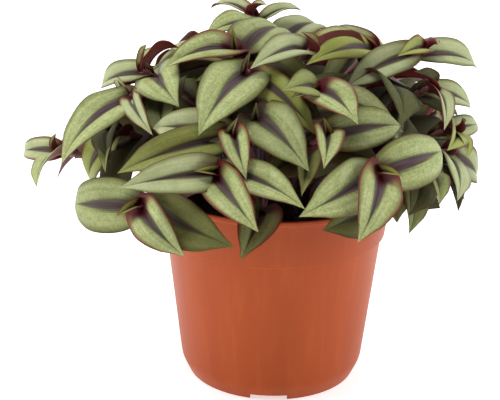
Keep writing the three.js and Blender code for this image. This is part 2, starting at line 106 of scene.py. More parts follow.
@dataclass(frozen=True)
class View:
    """The camera that was fitted to the pot's outline, in millimetres, degrees and pixels."""

    target: Place = (-12, 0, 88.8)
    distance: float = 760
    elevation: float = 20.13
    roll: float = 0.91
    focal: float = 1533
    width: float = 500
    height: float = 400

    @property
    def back(self) -> np.ndarray:
        """The direction from the target to the camera."""
        angle = math.radians(self.elevation)
        return vector(0, -math.cos(angle), math.sin(angle))

    @property
    def eye(self) -> np.ndarray:
        """Where the camera stands."""
        return vector(*self.target) + self.back * self.distance

    def sight(self, pixel: Pixel) -> np.ndarray:
        """The direction in which a pixel of the photograph looks.

        Args:
            pixel: How far right and how far down it is.

        Returns:
            The direction, of length 1.
        """
        x, y = pixel[0] - self.width / 2, pixel[1] - self.height / 2
        angle = math.radians(-self.roll)
        across = x * math.cos(angle) - y * math.sin(angle)
        down = x * math.sin(angle) + y * math.cos(angle)
        forward = -self.back
        return unit(forward + RIGHT * across / self.focal - np.cross(RIGHT, forward) * down / self.focal)

    def tip(self, pixel: Pixel, depth: float) -> Place:
        """The place that a pixel shows at a depth, to a whole millimetre.

        Args:
            pixel: Where it is seen.
            depth: Its place along Y.

        Returns:
            The place.
        """
        sight = self.sight(pixel)
        return tuple(np.round(self.eye + sight * (depth - self.eye[1]) / sight[1]).tolist())

    def reach(self, tip: np.ndarray, seen: Seen) -> np.ndarray:
        """How far a leaf's point lies from its stem's tip, to a whole millimetre.

        Args:
            tip: The stem's tip.
            seen: The leaf.

        Returns:
            The offset at the leaf's length along its line of sight, or else at the nearest place on it.
        """
        sight = self.sight(seen.pixel)
        offset = self.eye - tip
        nearest = offset @ sight
        spare = math.sqrt(max(nearest**2 - (offset @ offset - seen.length**2), 0))
        return np.round(offset + sight * (-nearest - spare if seen.near else -nearest + spare))


VIEW = View()


# ---- Growth: the rule that places stems and leaves, in millimetres -------------------------------

HEART = vector(-6, 6, 100)
LIGHT = vector(0, -0.8, 0.6)
LIGHT_SHARE = 0.6
SOIL_TOP = 90
ROOT_STAND = 3
ROOT_SUNK = 9
ROOT_SHARE = 0.37
RISE_SHARE = 0.62
LEAST_RISE = 52
TIP_RUN = 0.34
HEADING_OUT = 0.9
HEADING_UP = 0.5
BARE_BASE = 16
NODE_BACK = (1, 3, 6, 11, 22, 36, 51, 67)
LEAF_LENGTH = (13, 25, 38, 47, 52, 53, 50, 46)
LEAF_SLENDER = (0.36, 0.44, 0.48, 0.5, 0.5, 0.5, 0.5, 0.5)
LEAF_FOLD = (62, 42, 26, 18, 15, 14, 14, 14)

# Turns tried for a leaf whose place is taken: pitch and yaw in degrees, and a share of its size.
HALF_TURNS = (
    (0, 0, 1),
    (4, 0, 1),
    (0, 5, 1),
    (8, 0, 0.98),
    (0, 11, 0.98),
    (12, 0, 0.96),
    (8, 12, 0.94),
    (8, -12, 0.94),
    (18, 0, 0.92),
    (0, 24, 0.9),
    (26, 0, 0.88),
    (18, 26, 0.82),
    (18, -26, 0.82),
    (36, 10, 0.76),
    (0, 0, 0.62),
    (20, 20, 0.6),
)
# Each turn is followed by its opposite.
TURNS = tuple((pitch * way, yaw * way, share) for pitch, yaw, share in HALF_TURNS for way in (1, -1))


class Tint(Enum):
    """How a leaf that shows is tinted: its share of olive, and how much painted shade it carries."""

    PALE = (0.03, 0.0)
    SILVER = (0.4, 0.0)
    SHADED_SILVER = (0.35, 0.2)
    OLIVE = (0.97, 0.05)
    GREEN = (0.75, 0.3)
    DEEP_SHADE = (0.8, 0.62)
    DIM = (0.6, 0.78)


@dataclass(frozen=True)
class Seen:
    """A leaf that shows in the photograph.

    pixel is where its point is seen, and length is how far that is from the stem's tip, on the near or
    the far side of it. Then come the blade's width, and its fold and roll in degrees.
    """

    pixel: Pixel
    length: float
    width: float
    fold: float
    tint: Tint
    near: bool = True
    roll: float = 0


@dataclass(frozen=True)
class Shoot:
    """A leafy stem: its tip, and the leaves that show, youngest first.

    Other leaves grow behind those, unless the stem is bare. next_tint is the first one's tint.
    """

    name: str
    tip: Place
    leaves: tuple[Seen, ...] = ()
    bare: bool = False
    next_tint: Tint | None = None


def shown(name: str, pixel: Pixel, depth: float, *leaves: Seen, **traits: object) -> Shoot:
    """A shoot whose tip is seen at a pixel, at a depth along Y."""
    return Shoot(name, VIEW.tip(pixel, depth), leaves, **traits)


# The pixels were read off the photograph, apart from those of four leaves, which were worked back from
# the places that the leaves have: the second of left and of mid_gap, and the third of mid_right and of
# upper_right.
# fmt: off
# Each tint gives a shown leaf its olive share and its painted shade.
SHOOTS: tuple[Shoot, ...] = (
    shown(
        "crown", (250, 17), 10,
        Seen((265, 4), 15, 9, 40, Tint.PALE),
        Seen((210, 6), 27, 12, 40, Tint.PALE, near=False),
        Seen((302, 9.6), 27, 10, 40, Tint.PALE, near=False),
        Seen((206, 33.6), 34, 19, 18, Tint.SILVER),
    ),
    shown(
        "crown_front", (234, 53), -38,
        Seen((233, 27), 13, 7, 60, Tint.OLIVE),
        Seen((166.5, 65), 36, 19, 30, Tint.SILVER),
        Seen((284, 30), 46, 27, 10, Tint.SHADED_SILVER, near=False),
    ),
    shown(
        "upper_left", (142, 71), -32,
        Seen((146, 44), 13, 7, 60, Tint.SILVER, near=False),
        Seen((178, 46), 26, 13, 60, Tint.SILVER, near=False, roll=-35),
        Seen((99.4, 86), 30, 16, 34, Tint.PALE, near=False),
        Seen((176, 103), 40, 26, 20, Tint.SILVER),
    ),
    shown(
        "left", (128, 96), -42,
        Seen((118, 80), 14, 7, 50, Tint.PALE, near=False),
        Seen((150.5, 133), 34, 13, 34, Tint.PALE),
        Seen((59.7, 160.5), 47, 24, 14, Tint.SILVER),
        bare=True,
    ),
    shown(
        "far_left", (64, 149), -26,
        Seen((56, 134), 14, 8, 55, Tint.SILVER),
        Seen((22, 151), 30, 14, 30, Tint.PALE, near=False),
        Seen((34.5, 185), 34, 17, 24, Tint.SILVER),
        bare=True,
    ),
    shown(
        "left_inner", (112, 128), -40,
        Seen((118, 116), 12, 8, 50, Tint.DIM),
        Seen((109, 161), 30, 17, 18, Tint.DIM),
        Seen((87, 179), 38, 21, 14, Tint.OLIVE, near=False),
        Seen((102.5, 169), 34, 12, 36, Tint.GREEN),
    ),
    shown(
        "centre", (256, 118), -70,
        Seen((257, 102), 12, 8, 55, Tint.GREEN),
        Seen((308, 167.4), 43, 26, 12, Tint.SHADED_SILVER),
        bare=True,
    ),
    shown(
        "centre_top", (248, 72), -53,
        Seen((250, 52), 13, 7, 60, Tint.GREEN),
        Seen((304, 146), 43, 17, 18, Tint.OLIVE),
        Seen((200.4, 131.5), 46, 28, 12, Tint.SILVER),
    ),
    shown(
        "mid_right", (316.5, 94), -62,
        Seen((291.8, 97), 16, 9, 52, Tint.SILVER),
        Seen((358, 121.5), 34, 22, 12, Tint.SILVER),
        Seen((285, 88.5), 30, 18, 20, Tint.GREEN),
    ),
    shown(
        "front", (213, 173), -96,
        Seen((195.7, 171.6), 15, 8, 48, Tint.OLIVE),
        Seen((258, 230), 37, 20, 24, Tint.SILVER),
        Seen((122, 185.6), 43, 20, 30, Tint.PALE),
        Seen((302.8, 205), 44, 19, 20, Tint.SILVER, roll=-24),
        bare=True,
    ),
    shown(
        "mid_left", (233, 134), -84,
        Seen((236, 118), 12, 8, 55, Tint.GREEN),
        Seen((246.6, 176), 28, 16, 40, Tint.SILVER),
        Seen((151, 127), 40, 19, 24, Tint.PALE, near=False),
        Seen((119.5, 163), 52, 20, 30, Tint.GREEN),
        bare=True,
    ),
    shown(
        "low_left", (139.7, 206), -91,
        Seen((117, 216.4), 14, 8, 48, Tint.OLIVE),
        Seen((181.8, 254.5), 34, 20, 22, Tint.SILVER),
        Seen((72, 204), 46, 26, 10, Tint.SHADED_SILVER, near=False),
        Seen((229, 246), 48, 24, 14, Tint.DEEP_SHADE),
        bare=True,
    ),
    shown(
        "rim_front", (262, 212), -83,
        Seen((258, 198), 12, 7, 50, Tint.DIM),
        Seen((242, 257.5), 32, 21, 26, Tint.GREEN),
        bare=True,
    ),
    shown(
        "mid", (324.5, 135), -82,
        Seen((325, 118), 12, 8, 55, Tint.GREEN),
        Seen((323.7, 165), 26, 17, 40, Tint.SILVER),
        Seen((401.8, 124.4), 39, 21, 14, Tint.SHADED_SILVER, near=False),
    ),
    shown(
        "low_right", (380, 173), -90,
        Seen((402.6, 176), 14, 8, 48, Tint.OLIVE),
        Seen((360, 241), 38, 23, 20, Tint.SILVER),
        Seen((445.7, 150.7), 44, 25, 10, Tint.SILVER, near=False),
        Seen((302, 215.4), 46, 24, 12, Tint.SILVER),
        bare=True,
    ),
    shown(
        "low_right_under", (367, 208), -64,
        Seen((366, 196), 12, 7, 50, Tint.DIM),
        Seen((399, 218), 34, 24, 14, Tint.DEEP_SHADE, roll=-10),
        Seen((324.5, 230), 36, 23, 12, Tint.DEEP_SHADE),
        bare=True,
    ),
    shown(
        "upper_right", (427, 49), -4,
        Seen((438, 45), 11, 8, 52, Tint.OLIVE),
        Seen((399, 54), 24, 14, 46, Tint.OLIVE),
        Seen((345.5, 87), 44.5, 19, 26, Tint.PALE),
        Seen((478.4, 66), 36, 19, 28, Tint.PALE, near=False),
        Seen((448, 87), 32, 16, 24, Tint.PALE, near=False, roll=115),
        next_tint=Tint.DIM,
    ),
    shown(
        "top_right", (309, 52), -38,
        Seen((301.4, 32.4), 14, 9, 62, Tint.SILVER),
        Seen((366, 42), 36, 12, 60, Tint.SILVER, near=False, roll=-35),
        Seen((251, 65.4), 38, 18, 32, Tint.PALE),
    ),
    shown(
        "behind_right", (378, 52), 6,
        Seen((329, 28.7), 26, 10, 36, Tint.PALE, near=False),
        Seen((313.3, 69), 46, 19, 22, Tint.OLIVE),
        Seen((410, 122), 43, 25, 10, Tint.DIM),
    ),
    shown(
        "right", (432, 88), -14,
        Seen((416, 70), 18, 12, 40, Tint.DIM),
        Seen((447.4, 127), 33, 14, 34, Tint.PALE),
        Seen((472.6, 108), 28, 15, 24, Tint.PALE, near=False),
    ),
    shown(
        "right_side", (452, 128), -18,
        Seen((462, 118), 12, 8, 50, Tint.DIM),
        Seen((450.4, 150), 28, 17, 30, Tint.OLIVE),
        Seen((468.8, 156), 24, 14, 28, Tint.OLIVE),
        Seen((478.7, 124.8), 24, 13, 26, Tint.PALE, near=False),
    ),
    shown(
        "right_low", (447, 150), -30,
        Seen((452, 140), 12, 8, 50, Tint.DIM),
        Seen((478, 180), 32, 20, 14, Tint.PALE, near=False),
        Seen((459.6, 198), 34, 19, 12, Tint.PALE),
    ),
    shown(
        "right_fringe", (422, 170), -54,
        Seen((428, 160), 12, 8, 50, Tint.DIM),
        Seen((442, 202), 28, 17, 24, Tint.GREEN),
        Seen((410.6, 215), 32, 20, 20, Tint.DIM),
        Seen((391.5, 233.5), 36, 17, 20, Tint.GREEN),
    ),
    shown(
        "mid_gap", (306, 150), -78,
        Seen((303, 194), 30, 18, 32, Tint.GREEN),
        Seen((262, 179), 30, 19, 12, Tint.DIM),
        bare=True,
    ),
)
# fmt: on


@dataclass(frozen=True)
class Spread:
    """How a leaf that is placed by rule leaves its stem. Each spread is the whole range of its draw."""

    rank: float = 0.9
    turn: float = 0.7
    forward: float = 0.55
    forward_spread: float = 0.5
    lift: float = 0.12
    droop: float = 0.07
    lift_spread: float = 0.3
    length: float = 0.22
    roll: float = 40


@dataclass(frozen=True)
class Dome:
    """Where the tips of the stems that fill the plant are spread."""

    centre: np.ndarray = field(default_factory=lambda: vector(-6, 6, 104))
    radius: np.ndarray = field(default_factory=lambda: vector(90, 86, 54))
    points: int = 42
    lowest: float = -0.08
    clearance: float = 33

    def shoots(self) -> list[Shoot]:
        """The filling shoots, where no shown stem ends nearby.

        Returns:
            One shoot for each free tip, numbered in order.
        """
        golden = math.pi * (3 - math.sqrt(5))
        found: list[Shoot] = []
        for index in range(self.points):
            height = 1 - ((1 - self.lowest) * (index + 0.5)) / self.points
            ring = math.sqrt(1 - height * height)
            place = vector(ring * math.cos(index * golden), ring * math.sin(index * golden), height)
            tip = place * self.radius + self.centre
            if all(np.linalg.norm(vector(*shoot.tip) - tip) >= self.clearance for shoot in SHOOTS):
                found.append(Shoot(f"fill_{len(found) + 1}", tuple(tip)))
        return found


class Draws:
    """Repeatable numbers from 0 to 1."""

    MULTIPLIER = 1664525
    INCREMENT = 1013904223
    RANGE = 2**32

    def __init__(self, seed: int) -> None:
        """Starts the row of numbers that belongs to a seed."""
        self.state = seed % self.RANGE

    def draw(self) -> float:
        """The next number."""
        self.state = (self.state * self.MULTIPLIER + self.INCREMENT) % self.RANGE
        return self.state / self.RANGE

    def centred(self) -> float:
        """The next number, less a half."""
        return self.draw() - 0.5

    def between(self, low: float, high: float) -> float:
        """The next number, spread from low to high."""
        return low + (high - low) * self.draw()


class StemPath:
    """The curve that a stem follows, with its length measured along it."""

    DIVISIONS = 200
    NUDGE = 0.0001

    def __init__(self, corners: Sequence[np.ndarray]) -> None:
        """Measures the cubic curve.

        Args:
            corners: Its start, the two points that bend it, and its end.
        """
        self.corners = np.array(corners)
        self.shares = np.linspace(0, 1, self.DIVISIONS + 1)
        steps = np.diff(np.array([self.point(share) for share in self.shares]), axis=0)
        self.lengths = np.concatenate([[0], np.cumsum(np.linalg.norm(steps, axis=1))])

    @property
    def length(self) -> float:
        """The whole length."""
        return float(self.lengths[-1])

    def point(self, share: float) -> np.ndarray:
        """The point at a share of the curve's own parameter."""
        rest = 1 - share
        return vector(rest**3, 3 * rest**2 * share, 3 * rest * share**2, share**3) @ self.corners

    def forward(self, share: float) -> np.ndarray:
        """The direction of growth at a share of the curve's own parameter."""
        low, high = max(share - self.NUDGE, 0), min(share + self.NUDGE, 1)
        return unit(self.point(high) - self.point(low))

    def share_at(self, length_share: float) -> float:
        """The curve's own parameter at a share of its length."""
        return float(np.interp(length_share * self.length, self.lengths, self.shares))


@dataclass(frozen=True)
class Leaf:
    """Where a leaf springs from, how far it reaches, how its blade lies and how it is tinted."""

    base: np.ndarray
    reach: np.ndarray
    width: float
    fold: float
    roll: float
    age: int
    light: float
    tint: Tint | None

    @property
    def tip(self) -> np.ndarray:
        """The leaf's point."""
        return self.base + self.reach

    @property
    def middle(self) -> np.ndarray:
        """The middle of the blade's chord."""
        return self.base + self.reach / 2

    def axes(self) -> Axes:
        """The blade's own directions.

        Returns:
            The directions along the blade, out of its face and across it.
        """
        along = unit(self.reach)
        face = unit(self.middle - HEART) + LIGHT * self.light
        face = turned_about(unit(face - along * (face @ along)), along, math.radians(self.roll))
        return along, face, np.cross(face, along)

    def turned(self, pitch: float, yaw: float, share: float) -> Leaf:
        """The same leaf turned about its base and made a little smaller.

        Args:
            pitch: How far it turns about its width, in degrees.
            yaw: How far it turns about its face, in degrees.
            share: What is left of its size.

        Returns:
            The turned leaf.
        """
        _, face, across = self.axes()
        reach = turned_about(self.reach, across, math.radians(-pitch))
        reach = turned_about(reach, face, math.radians(yaw)) * share
        return replace(self, reach=reach, width=self.width * share)


class Stem:
    """One leafy stem: its path and the leaves that it grew."""

    FOUND_WITHIN = 0.05

    def __init__(self, shoot: Shoot, seed: int) -> None:
        """Lays the stem's path from its root in the soil to its tip.

        Args:
            shoot: What is stated of the stem.
            seed: The seed of its draws.
        """
        self.shoot = shoot
        self.draws = Draws(seed)
        self.tip = vector(*shoot.tip)
        self.root = vector(self.tip[0] * ROOT_SHARE, self.tip[1] * ROOT_SHARE, SOIL_TOP + ROOT_STAND)
        outward = unit(vector(self.tip[0], self.tip[1], 0))
        heading = unit(outward * HEADING_OUT + UP * HEADING_UP)
        span = float(np.linalg.norm(self.tip - self.root))
        rise = max(self.tip[2] - self.root[2], LEAST_RISE) * RISE_SHARE
        bends = (self.root + UP * rise, self.tip - heading * span * TIP_RUN)
        self.path = StemPath([self.root, *bends, self.tip])
        self.sideways = np.cross(outward, UP)

    @property
    def node(self) -> str:
        """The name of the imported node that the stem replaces."""
        return STEM_NODE + self.shoot.name

    def leaves(self, spread: Spread) -> list[Leaf]:
        """Every leaf that the stem may carry, before any is turned.

        Args:
            spread: How the leaves that are placed by rule are spread.

        Returns:
            The leaves, youngest first.
        """
        draws = self.draws
        rank_turn = draws.centred() * spread.rank
        first_side = -1 if draws.centred() < 0 else 1
        found: list[Leaf] = []
        for age, back in enumerate(NODE_BACK):
            turn, forward, lift, size = (draws.centred() for _ in range(4))
            if back > self.path.length - BARE_BASE:
                continue
            share = self.path.share_at(1 - back / self.path.length)
            base = self.path.point(share)
            if age < len(self.shoot.leaves):
                seen = self.shoot.leaves[age]
                reach = self.tip + VIEW.reach(self.tip, seen) - base
                found.append(Leaf(base, reach, seen.width, seen.fold, seen.roll, age, LIGHT_SHARE, seen.tint))
                continue
            if self.shoot.bare:
                continue
            tangent = self.path.forward(share)
            side = self.sideways * (first_side if age % 2 else -first_side)
            reach = turned_about(side, tangent, rank_turn + turn * spread.turn)
            reach = reach + tangent * (spread.forward + forward * spread.forward_spread)
            reach = reach + UP * (spread.lift - spread.droop * age + lift * spread.lift_spread)
            reach = unit(reach) * LEAF_LENGTH[age] * (1 + size * spread.length)
            width = float(np.linalg.norm(reach)) * LEAF_SLENDER[age]
            tint = self.shoot.next_tint if age == len(self.shoot.leaves) else None
            found.append(Leaf(base, reach, width, LEAF_FOLD[age], turn * spread.roll, age, 0, tint))
        return found

    def grown_leaves(self, spread: Spread) -> list[Leaf]:
        """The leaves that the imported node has, turned as they are there.

        Args:
            spread: How the leaves that are placed by rule are spread.

        Returns:
            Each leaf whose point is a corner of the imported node, in the turn that puts it there.
        """
        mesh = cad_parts[self.node].data
        corners = np.empty(len(mesh.vertices) * 3, dtype=np.float32)
        mesh.vertices.foreach_get("co", corners)
        corners = corners.reshape(-1, 3) / MM
        grown: list[Leaf] = []
        for leaf in self.leaves(spread):
            for candidate in (leaf.turned(*turn) for turn in TURNS):
                if np.linalg.norm(corners - candidate.tip, axis=1).min() < self.FOUND_WITHIN:
                    grown.append(candidate)
                    break
        return grown


# ---- Meshes --------------------------------------------------------------------------------------


class Surface(Enum):
    """The kinds of surface on a leafy stem; each value is its material's slot on the mesh."""

    TOP = 0
    UNDERSIDE = 1
    STEM = 2


class Gathered:
    """Points and faces of several shapes, gathered into one mesh."""

    def __init__(self) -> None:
        """Starts empty."""
        self.points: list[np.ndarray] = []
        self.faces: list[tuple[int, ...]] = []
        self.slots: list[int] = []
        self.places: list[np.ndarray] = []
        self.tones: list[np.ndarray] = []
        self.count = 0

    def add_grid(
        self,
        points: np.ndarray,
        places: np.ndarray,
        tone: np.ndarray,
        surface: Surface,
        closed: bool = False,
        flipped: bool = False,
    ) -> int:
        """Adds a grid of points with a face between each four neighbours.

        Args:
            points: Rows by columns by 3, in millimetres.
            places: Rows by columns by 3, the place on the leaf or stem that each point has.
            tone: Three numbers that the whole shape shares.
            surface: The kind of surface.
            closed: Whether the last column joins the first.
            flipped: Whether the faces look the other way.

        Returns:
            The number of the grid's first point.
        """
        rows, columns = points.shape[:2]
        start = self.count
        self.points.append(points.reshape(-1, 3))
        self.places.append(places.reshape(-1, 3))
        self.tones.append(np.tile(tone, (rows * columns, 1)))
        self.count += rows * columns
        for row in range(rows - 1):
            for column in range(columns if closed else columns - 1):
                here = start + row * columns + column
                beside = start + row * columns + (column + 1) % columns
                self.add_face((here, beside, beside + columns, here + columns), surface, flipped)
        return start

    def add_face(self, corners: Sequence[int], surface: Surface, flipped: bool = False) -> None:
        """Adds one face between points that are there already."""
        self.faces.append(tuple(corners)[::-1] if flipped else tuple(corners))
        self.slots.append(surface.value)

    def piece(self, name: str, materials: Sequence[bpy.types.Material]) -> bpy.types.Object:
        """Makes the gathered shapes one smooth object at the origin.

        Args:
            name: The piece's name.
            materials: One material for each slot.

        Returns:
            The new object.
        """
        mesh = bpy.data.meshes.new(name)
        mesh.from_pydata((np.concatenate(self.points) * MM).tolist(), [], self.faces)
        mesh.polygons.foreach_set("material_index", self.slots)
        for title, values in (("place", self.places), ("tone", self.tones)):
            attribute = mesh.attributes.new(title, "FLOAT_VECTOR", "POINT")
            attribute.data.foreach_set("vector", np.concatenate(values).astype(np.float32).ravel())
        for material in materials:
            mesh.materials.append(material)
        return linked(name, smooth(mesh))


def smooth(mesh: bpy.types.Mesh) -> bpy.types.Mesh:
    """Shades a mesh smooth.

    Args:
        mesh: The mesh.

    Returns:
        The same mesh.
    """
    mesh.polygons.foreach_set("use_smooth", [True] * len(mesh.polygons))
    mesh.update()
    return mesh


def meshed(shape: bmesh.types.BMesh, name: str) -> bpy.types.Mesh:
    """Makes a mesh of a finished shape, and frees the shape.

    Args:
        shape: The shape.
        name: The mesh's name.

    Returns:
        The new mesh.
    """
    mesh = bpy.data.meshes.new(name)
    shape.to_mesh(mesh)
    shape.free()
    return mesh


def linked(name: str, content: bpy.types.ID) -> bpy.types.Object:
    """Puts a mesh, lamp or lens in the scene as an object at the origin.

    Args:
        name: The object's name.
        content: The mesh, lamp or lens.

    Returns:
        The new object.
    """
    made = bpy.data.objects.new(name, content)
    bpy.context.scene.collection.objects.link(made)
    return made


def dressed(piece: bpy.types.Object) -> bpy.types.Object:
    """Lets a piece ride on the only body."""
    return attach(piece, BODY)


def rounded(corners: Sequence[Corner], steps: int = 5) -> list[tuple[float, float]]:
    """Rounds the corners of an outline.

    Args:
        corners: Radius, height and how far the rounding reaches along both edges, for each corner.
        steps: The number of points on a rounded corner.

    Returns:
        The outline's radii and heights.
    """
    outline: list[tuple[float, float]] = []
    for index, (radius, height, run) in enumerate(corners):
        if run == 0:
            outline.append((radius, height))
            continue
        corner = vector(radius, height)
        start = corner + unit(vector(*corners[index - 1][:2]) - corner) * run
        end = corner + unit(vector(*corners[index + 1][:2]) - corner) * run
        for share in np.linspace(0, 1, steps):
            point = start * (1 - share) ** 2 + corner * 2 * share * (1 - share) + end * share**2
            outline.append(tuple(point.tolist()))
    return outline


def turned_mesh(name: str, outline: Sequence[tuple[float, float]], segments: int) -> bpy.types.Mesh:
    """Turns a closed outline round the Z axis.

    Args:
        name: The mesh's name.
        outline: Radii and heights in millimetres, with both ends on the axis.
        segments: The number of segments round it.

    Returns:
        The closed mesh, in metres.
    """
    made = bmesh.new()
    angles = [2 * math.pi * index / segments for index in range(segments)]
    rings = []
    for radius, height in outline:
        out = radius * MM
        ring = [(out * math.cos(angle), out * math.sin(angle), height * MM) for angle in angles]
        rings.append([made.verts.new(point) for point in ring])
    for lower, upper in zip(rings, rings[1:]):
        for index in range(segments):
            after = (index + 1) % segments
            made.faces.new((lower[index], lower[after], upper[after], upper[index]))
    bmesh.ops.remove_doubles(made, verts=made.verts, dist=MM * MM)
    bmesh.ops.recalc_face_normals(made, faces=made.faces)
    return meshed(made, name)


# ---- Shader maths --------------------------------------------------------------------------------

Value: TypeAlias = "Socket | float"

# The middle of smooth noise.
MIDDLE = 0.5
# The numbers of a Mix node's sockets for colours: under, over and mixed.
UNDER, OVER, MIXED = 6, 7, 2
# A full level of light on a screen.
FULL_LEVEL = 255


def operator(operation: str, reflected: bool = False) -> Callable[[Socket, Value], Socket]:
    """An operator of sockets that adds a Math node; the reflected form takes the socket second."""

    def apply(socket: Socket, other: Value) -> Socket:
        """The outcome of the Math node."""
        first, second = (other, socket) if reflected else (socket, other)
        return socket.graph.node("ShaderNodeMath", {"operation": operation}, {0: first, 1: second})

    return apply


class Socket:
    """An output of a node, on which arithmetic adds Math nodes."""

    def __init__(self, graph: Graph, output: bpy.types.NodeSocket) -> None:
        """Keeps the graph and the output."""
        self.graph = graph
        self.output = output

    __add__ = operator("ADD")
    __radd__ = operator("ADD", reflected=True)
    __sub__ = operator("SUBTRACT")
    __rsub__ = operator("SUBTRACT", reflected=True)
    __mul__ = operator("MULTIPLY")
    __rmul__ = operator("MULTIPLY", reflected=True)
    __truediv__ = operator("DIVIDE")
    __pow__ = operator("POWER")

    def __abs__(self) -> Socket:
        """The size without the sign."""
        return self.graph.node("ShaderNodeMath", {"operation": "ABSOLUTE"}, {0: self})

    def rising(self, low: Value, high: Value) -> Socket:
        """A smooth mask from 0 at low to 1 at high."""
        inputs = {"Value": self, "From Min": low, "From Max": high}
        return self.graph.node("ShaderNodeMapRange", {"interpolation_type": "SMOOTHSTEP"}, inputs)


@dataclass(frozen=True)
class Mask:
    """A smooth mask: the values at which it is nothing and full, and how strong it is when full."""

    nothing: float
    full: float
    strength: float = 1

    def of(self, value: Socket) -> Socket:
        """The mask over a value."""
        return value.rising(self.nothing, self.full) * self.strength


@dataclass(frozen=True)
class Aging:
    """A number on a grown leaf, and how much more of it the youngest leaf has."""

    grown: float
    young_more: float

    def at(self, youth: Socket) -> Socket:
        """The number at a leaf's youth."""
        return self.grown + youth * self.young_more


@dataclass(frozen=True)
class Grain:
    """Smooth noise over a place, or over three values that are first stretched by rates."""

    scale: float = 1
    detail: float = 2
    roughness: float = 0.5
    rates: tuple[float, float, float] = (1, 1, 1)


def srgb(red: int, green: int, blue: int) -> Colour:
    """A colour as a screen shows it, in 0 to 255, as the linear colour that a shader takes."""
    return tuple((Color((red, green, blue)) / FULL_LEVEL).from_srgb_to_scene_linear())


class Graph:
    """The nodes of one material, or of the world."""

    def __init__(self, owner: bpy.types.Material | bpy.types.World, shader: str = "Principled BSDF") -> None:
        """Takes over the owner's nodes.

        Args:
            owner: The material or world.
            shader: The name of the plain shader that is there.
        """
        owner.use_nodes = True
        self.tree = owner.node_tree
        self.shader = self.tree.nodes[shader]

    def node(
        self,
        kind: str,
        settings: dict[str, object] | None = None,
        inputs: dict[int | str, object] | None = None,
        output: int | str = 0,
    ) -> Socket:
        """Adds a node.

        Args:
            kind: The node's type.
            settings: Its settings, which are set first.
            inputs: The value or link of each of its sockets.
            output: Which of its outputs is wanted.

        Returns:
            That output.
        """
        made = self.tree.nodes.new(kind)
        for title, value in (settings or {}).items():
            setattr(made, title, value)
        for title, value in (inputs or {}).items():
            self.feed(made.inputs[title], value)
        return Socket(self, made.outputs[output])

    def feed(self, socket: bpy.types.NodeSocket, value: object) -> None:
        """Links an output to a socket, or sets the socket's own value."""
        if isinstance(value, Socket):
            self.tree.links.new(value.output, socket)
        elif socket.type == "RGBA":
            socket.default_value = (*value, 1)
        else:
            socket.default_value = value

    def set(self, **values: object) -> None:
        """Feeds the shader's sockets, whose names are written with _ for a space."""
        for title, value in values.items():
            self.feed(self.shader.inputs[title.replace("_", " ")], value)

    def layered(self, colour: Socket | Colour, *layers: tuple[Value, Socket | Colour]) -> Socket:
        """A colour under layers, each of which is laid on by its mask, in order."""
        for mask, layer in layers:
            inputs = {"Factor": mask, UNDER: colour, OVER: layer}
            colour = self.node("ShaderNodeMix", {"data_type": "RGBA"}, inputs, output=MIXED)
        return colour

    def parts(self, source: Socket) -> tuple[Socket, Socket, Socket]:
        """The three parts of a vector."""
        outputs = self.node("ShaderNodeSeparateXYZ", inputs={0: source}).output.node.outputs
        return Socket(self, outputs[0]), Socket(self, outputs[1]), Socket(self, outputs[2])

    def attribute(self, title: str) -> tuple[Socket, Socket, Socket]:
        """The three parts of a mesh attribute."""
        return self.parts(self.node("ShaderNodeAttribute", {"attribute_name": title}, output="Vector"))

    def position(self) -> Socket:
        """The place on the object, in metres."""
        return self.node("ShaderNodeTexCoord", output="Object")

    def noise(self, grain: Grain, *place: Socket) -> Socket:
        """Adds smooth noise.

        Args:
            grain: Its kind.
            place: The place, or three values that the grain's rates stretch into one.

        Returns:
            The noise, from 0 to 1.
        """
        if len(place) > 1:
            values = {index: value * grain.rates[index] for index, value in enumerate(place)}
            place = (self.node("ShaderNodeCombineXYZ", inputs=values),)
        inputs = {"Scale": grain.scale, "Detail": grain.detail, "Roughness": grain.roughness}
        return self.node("ShaderNodeTexNoise", inputs={"Vector": place[0], **inputs})

    def bump(self, height: Socket, relief: tuple[float, float]) -> Socket:
        """A normal that follows a height; relief is how high that is, in metres, and its strength."""
        inputs = {"Height": height, "Distance": relief[0], "Strength": relief[1]}
        return self.node("ShaderNodeBump", inputs=inputs)


# ---- Finishes ------------------------------------------------------------------------------------


class Finish:
    """What every finish does: it makes a material and dresses that material's graph."""

    title = ""

    def dress(self, graph: Graph) -> None:
        """Builds the finish in a graph."""
        raise NotImplementedError

    def material(self) -> bpy.types.Material:
        """Makes the finish.

        Returns:
            The new material.
        """
        material = bpy.data.materials.new(self.title)
        self.dress(Graph(material))
        return material


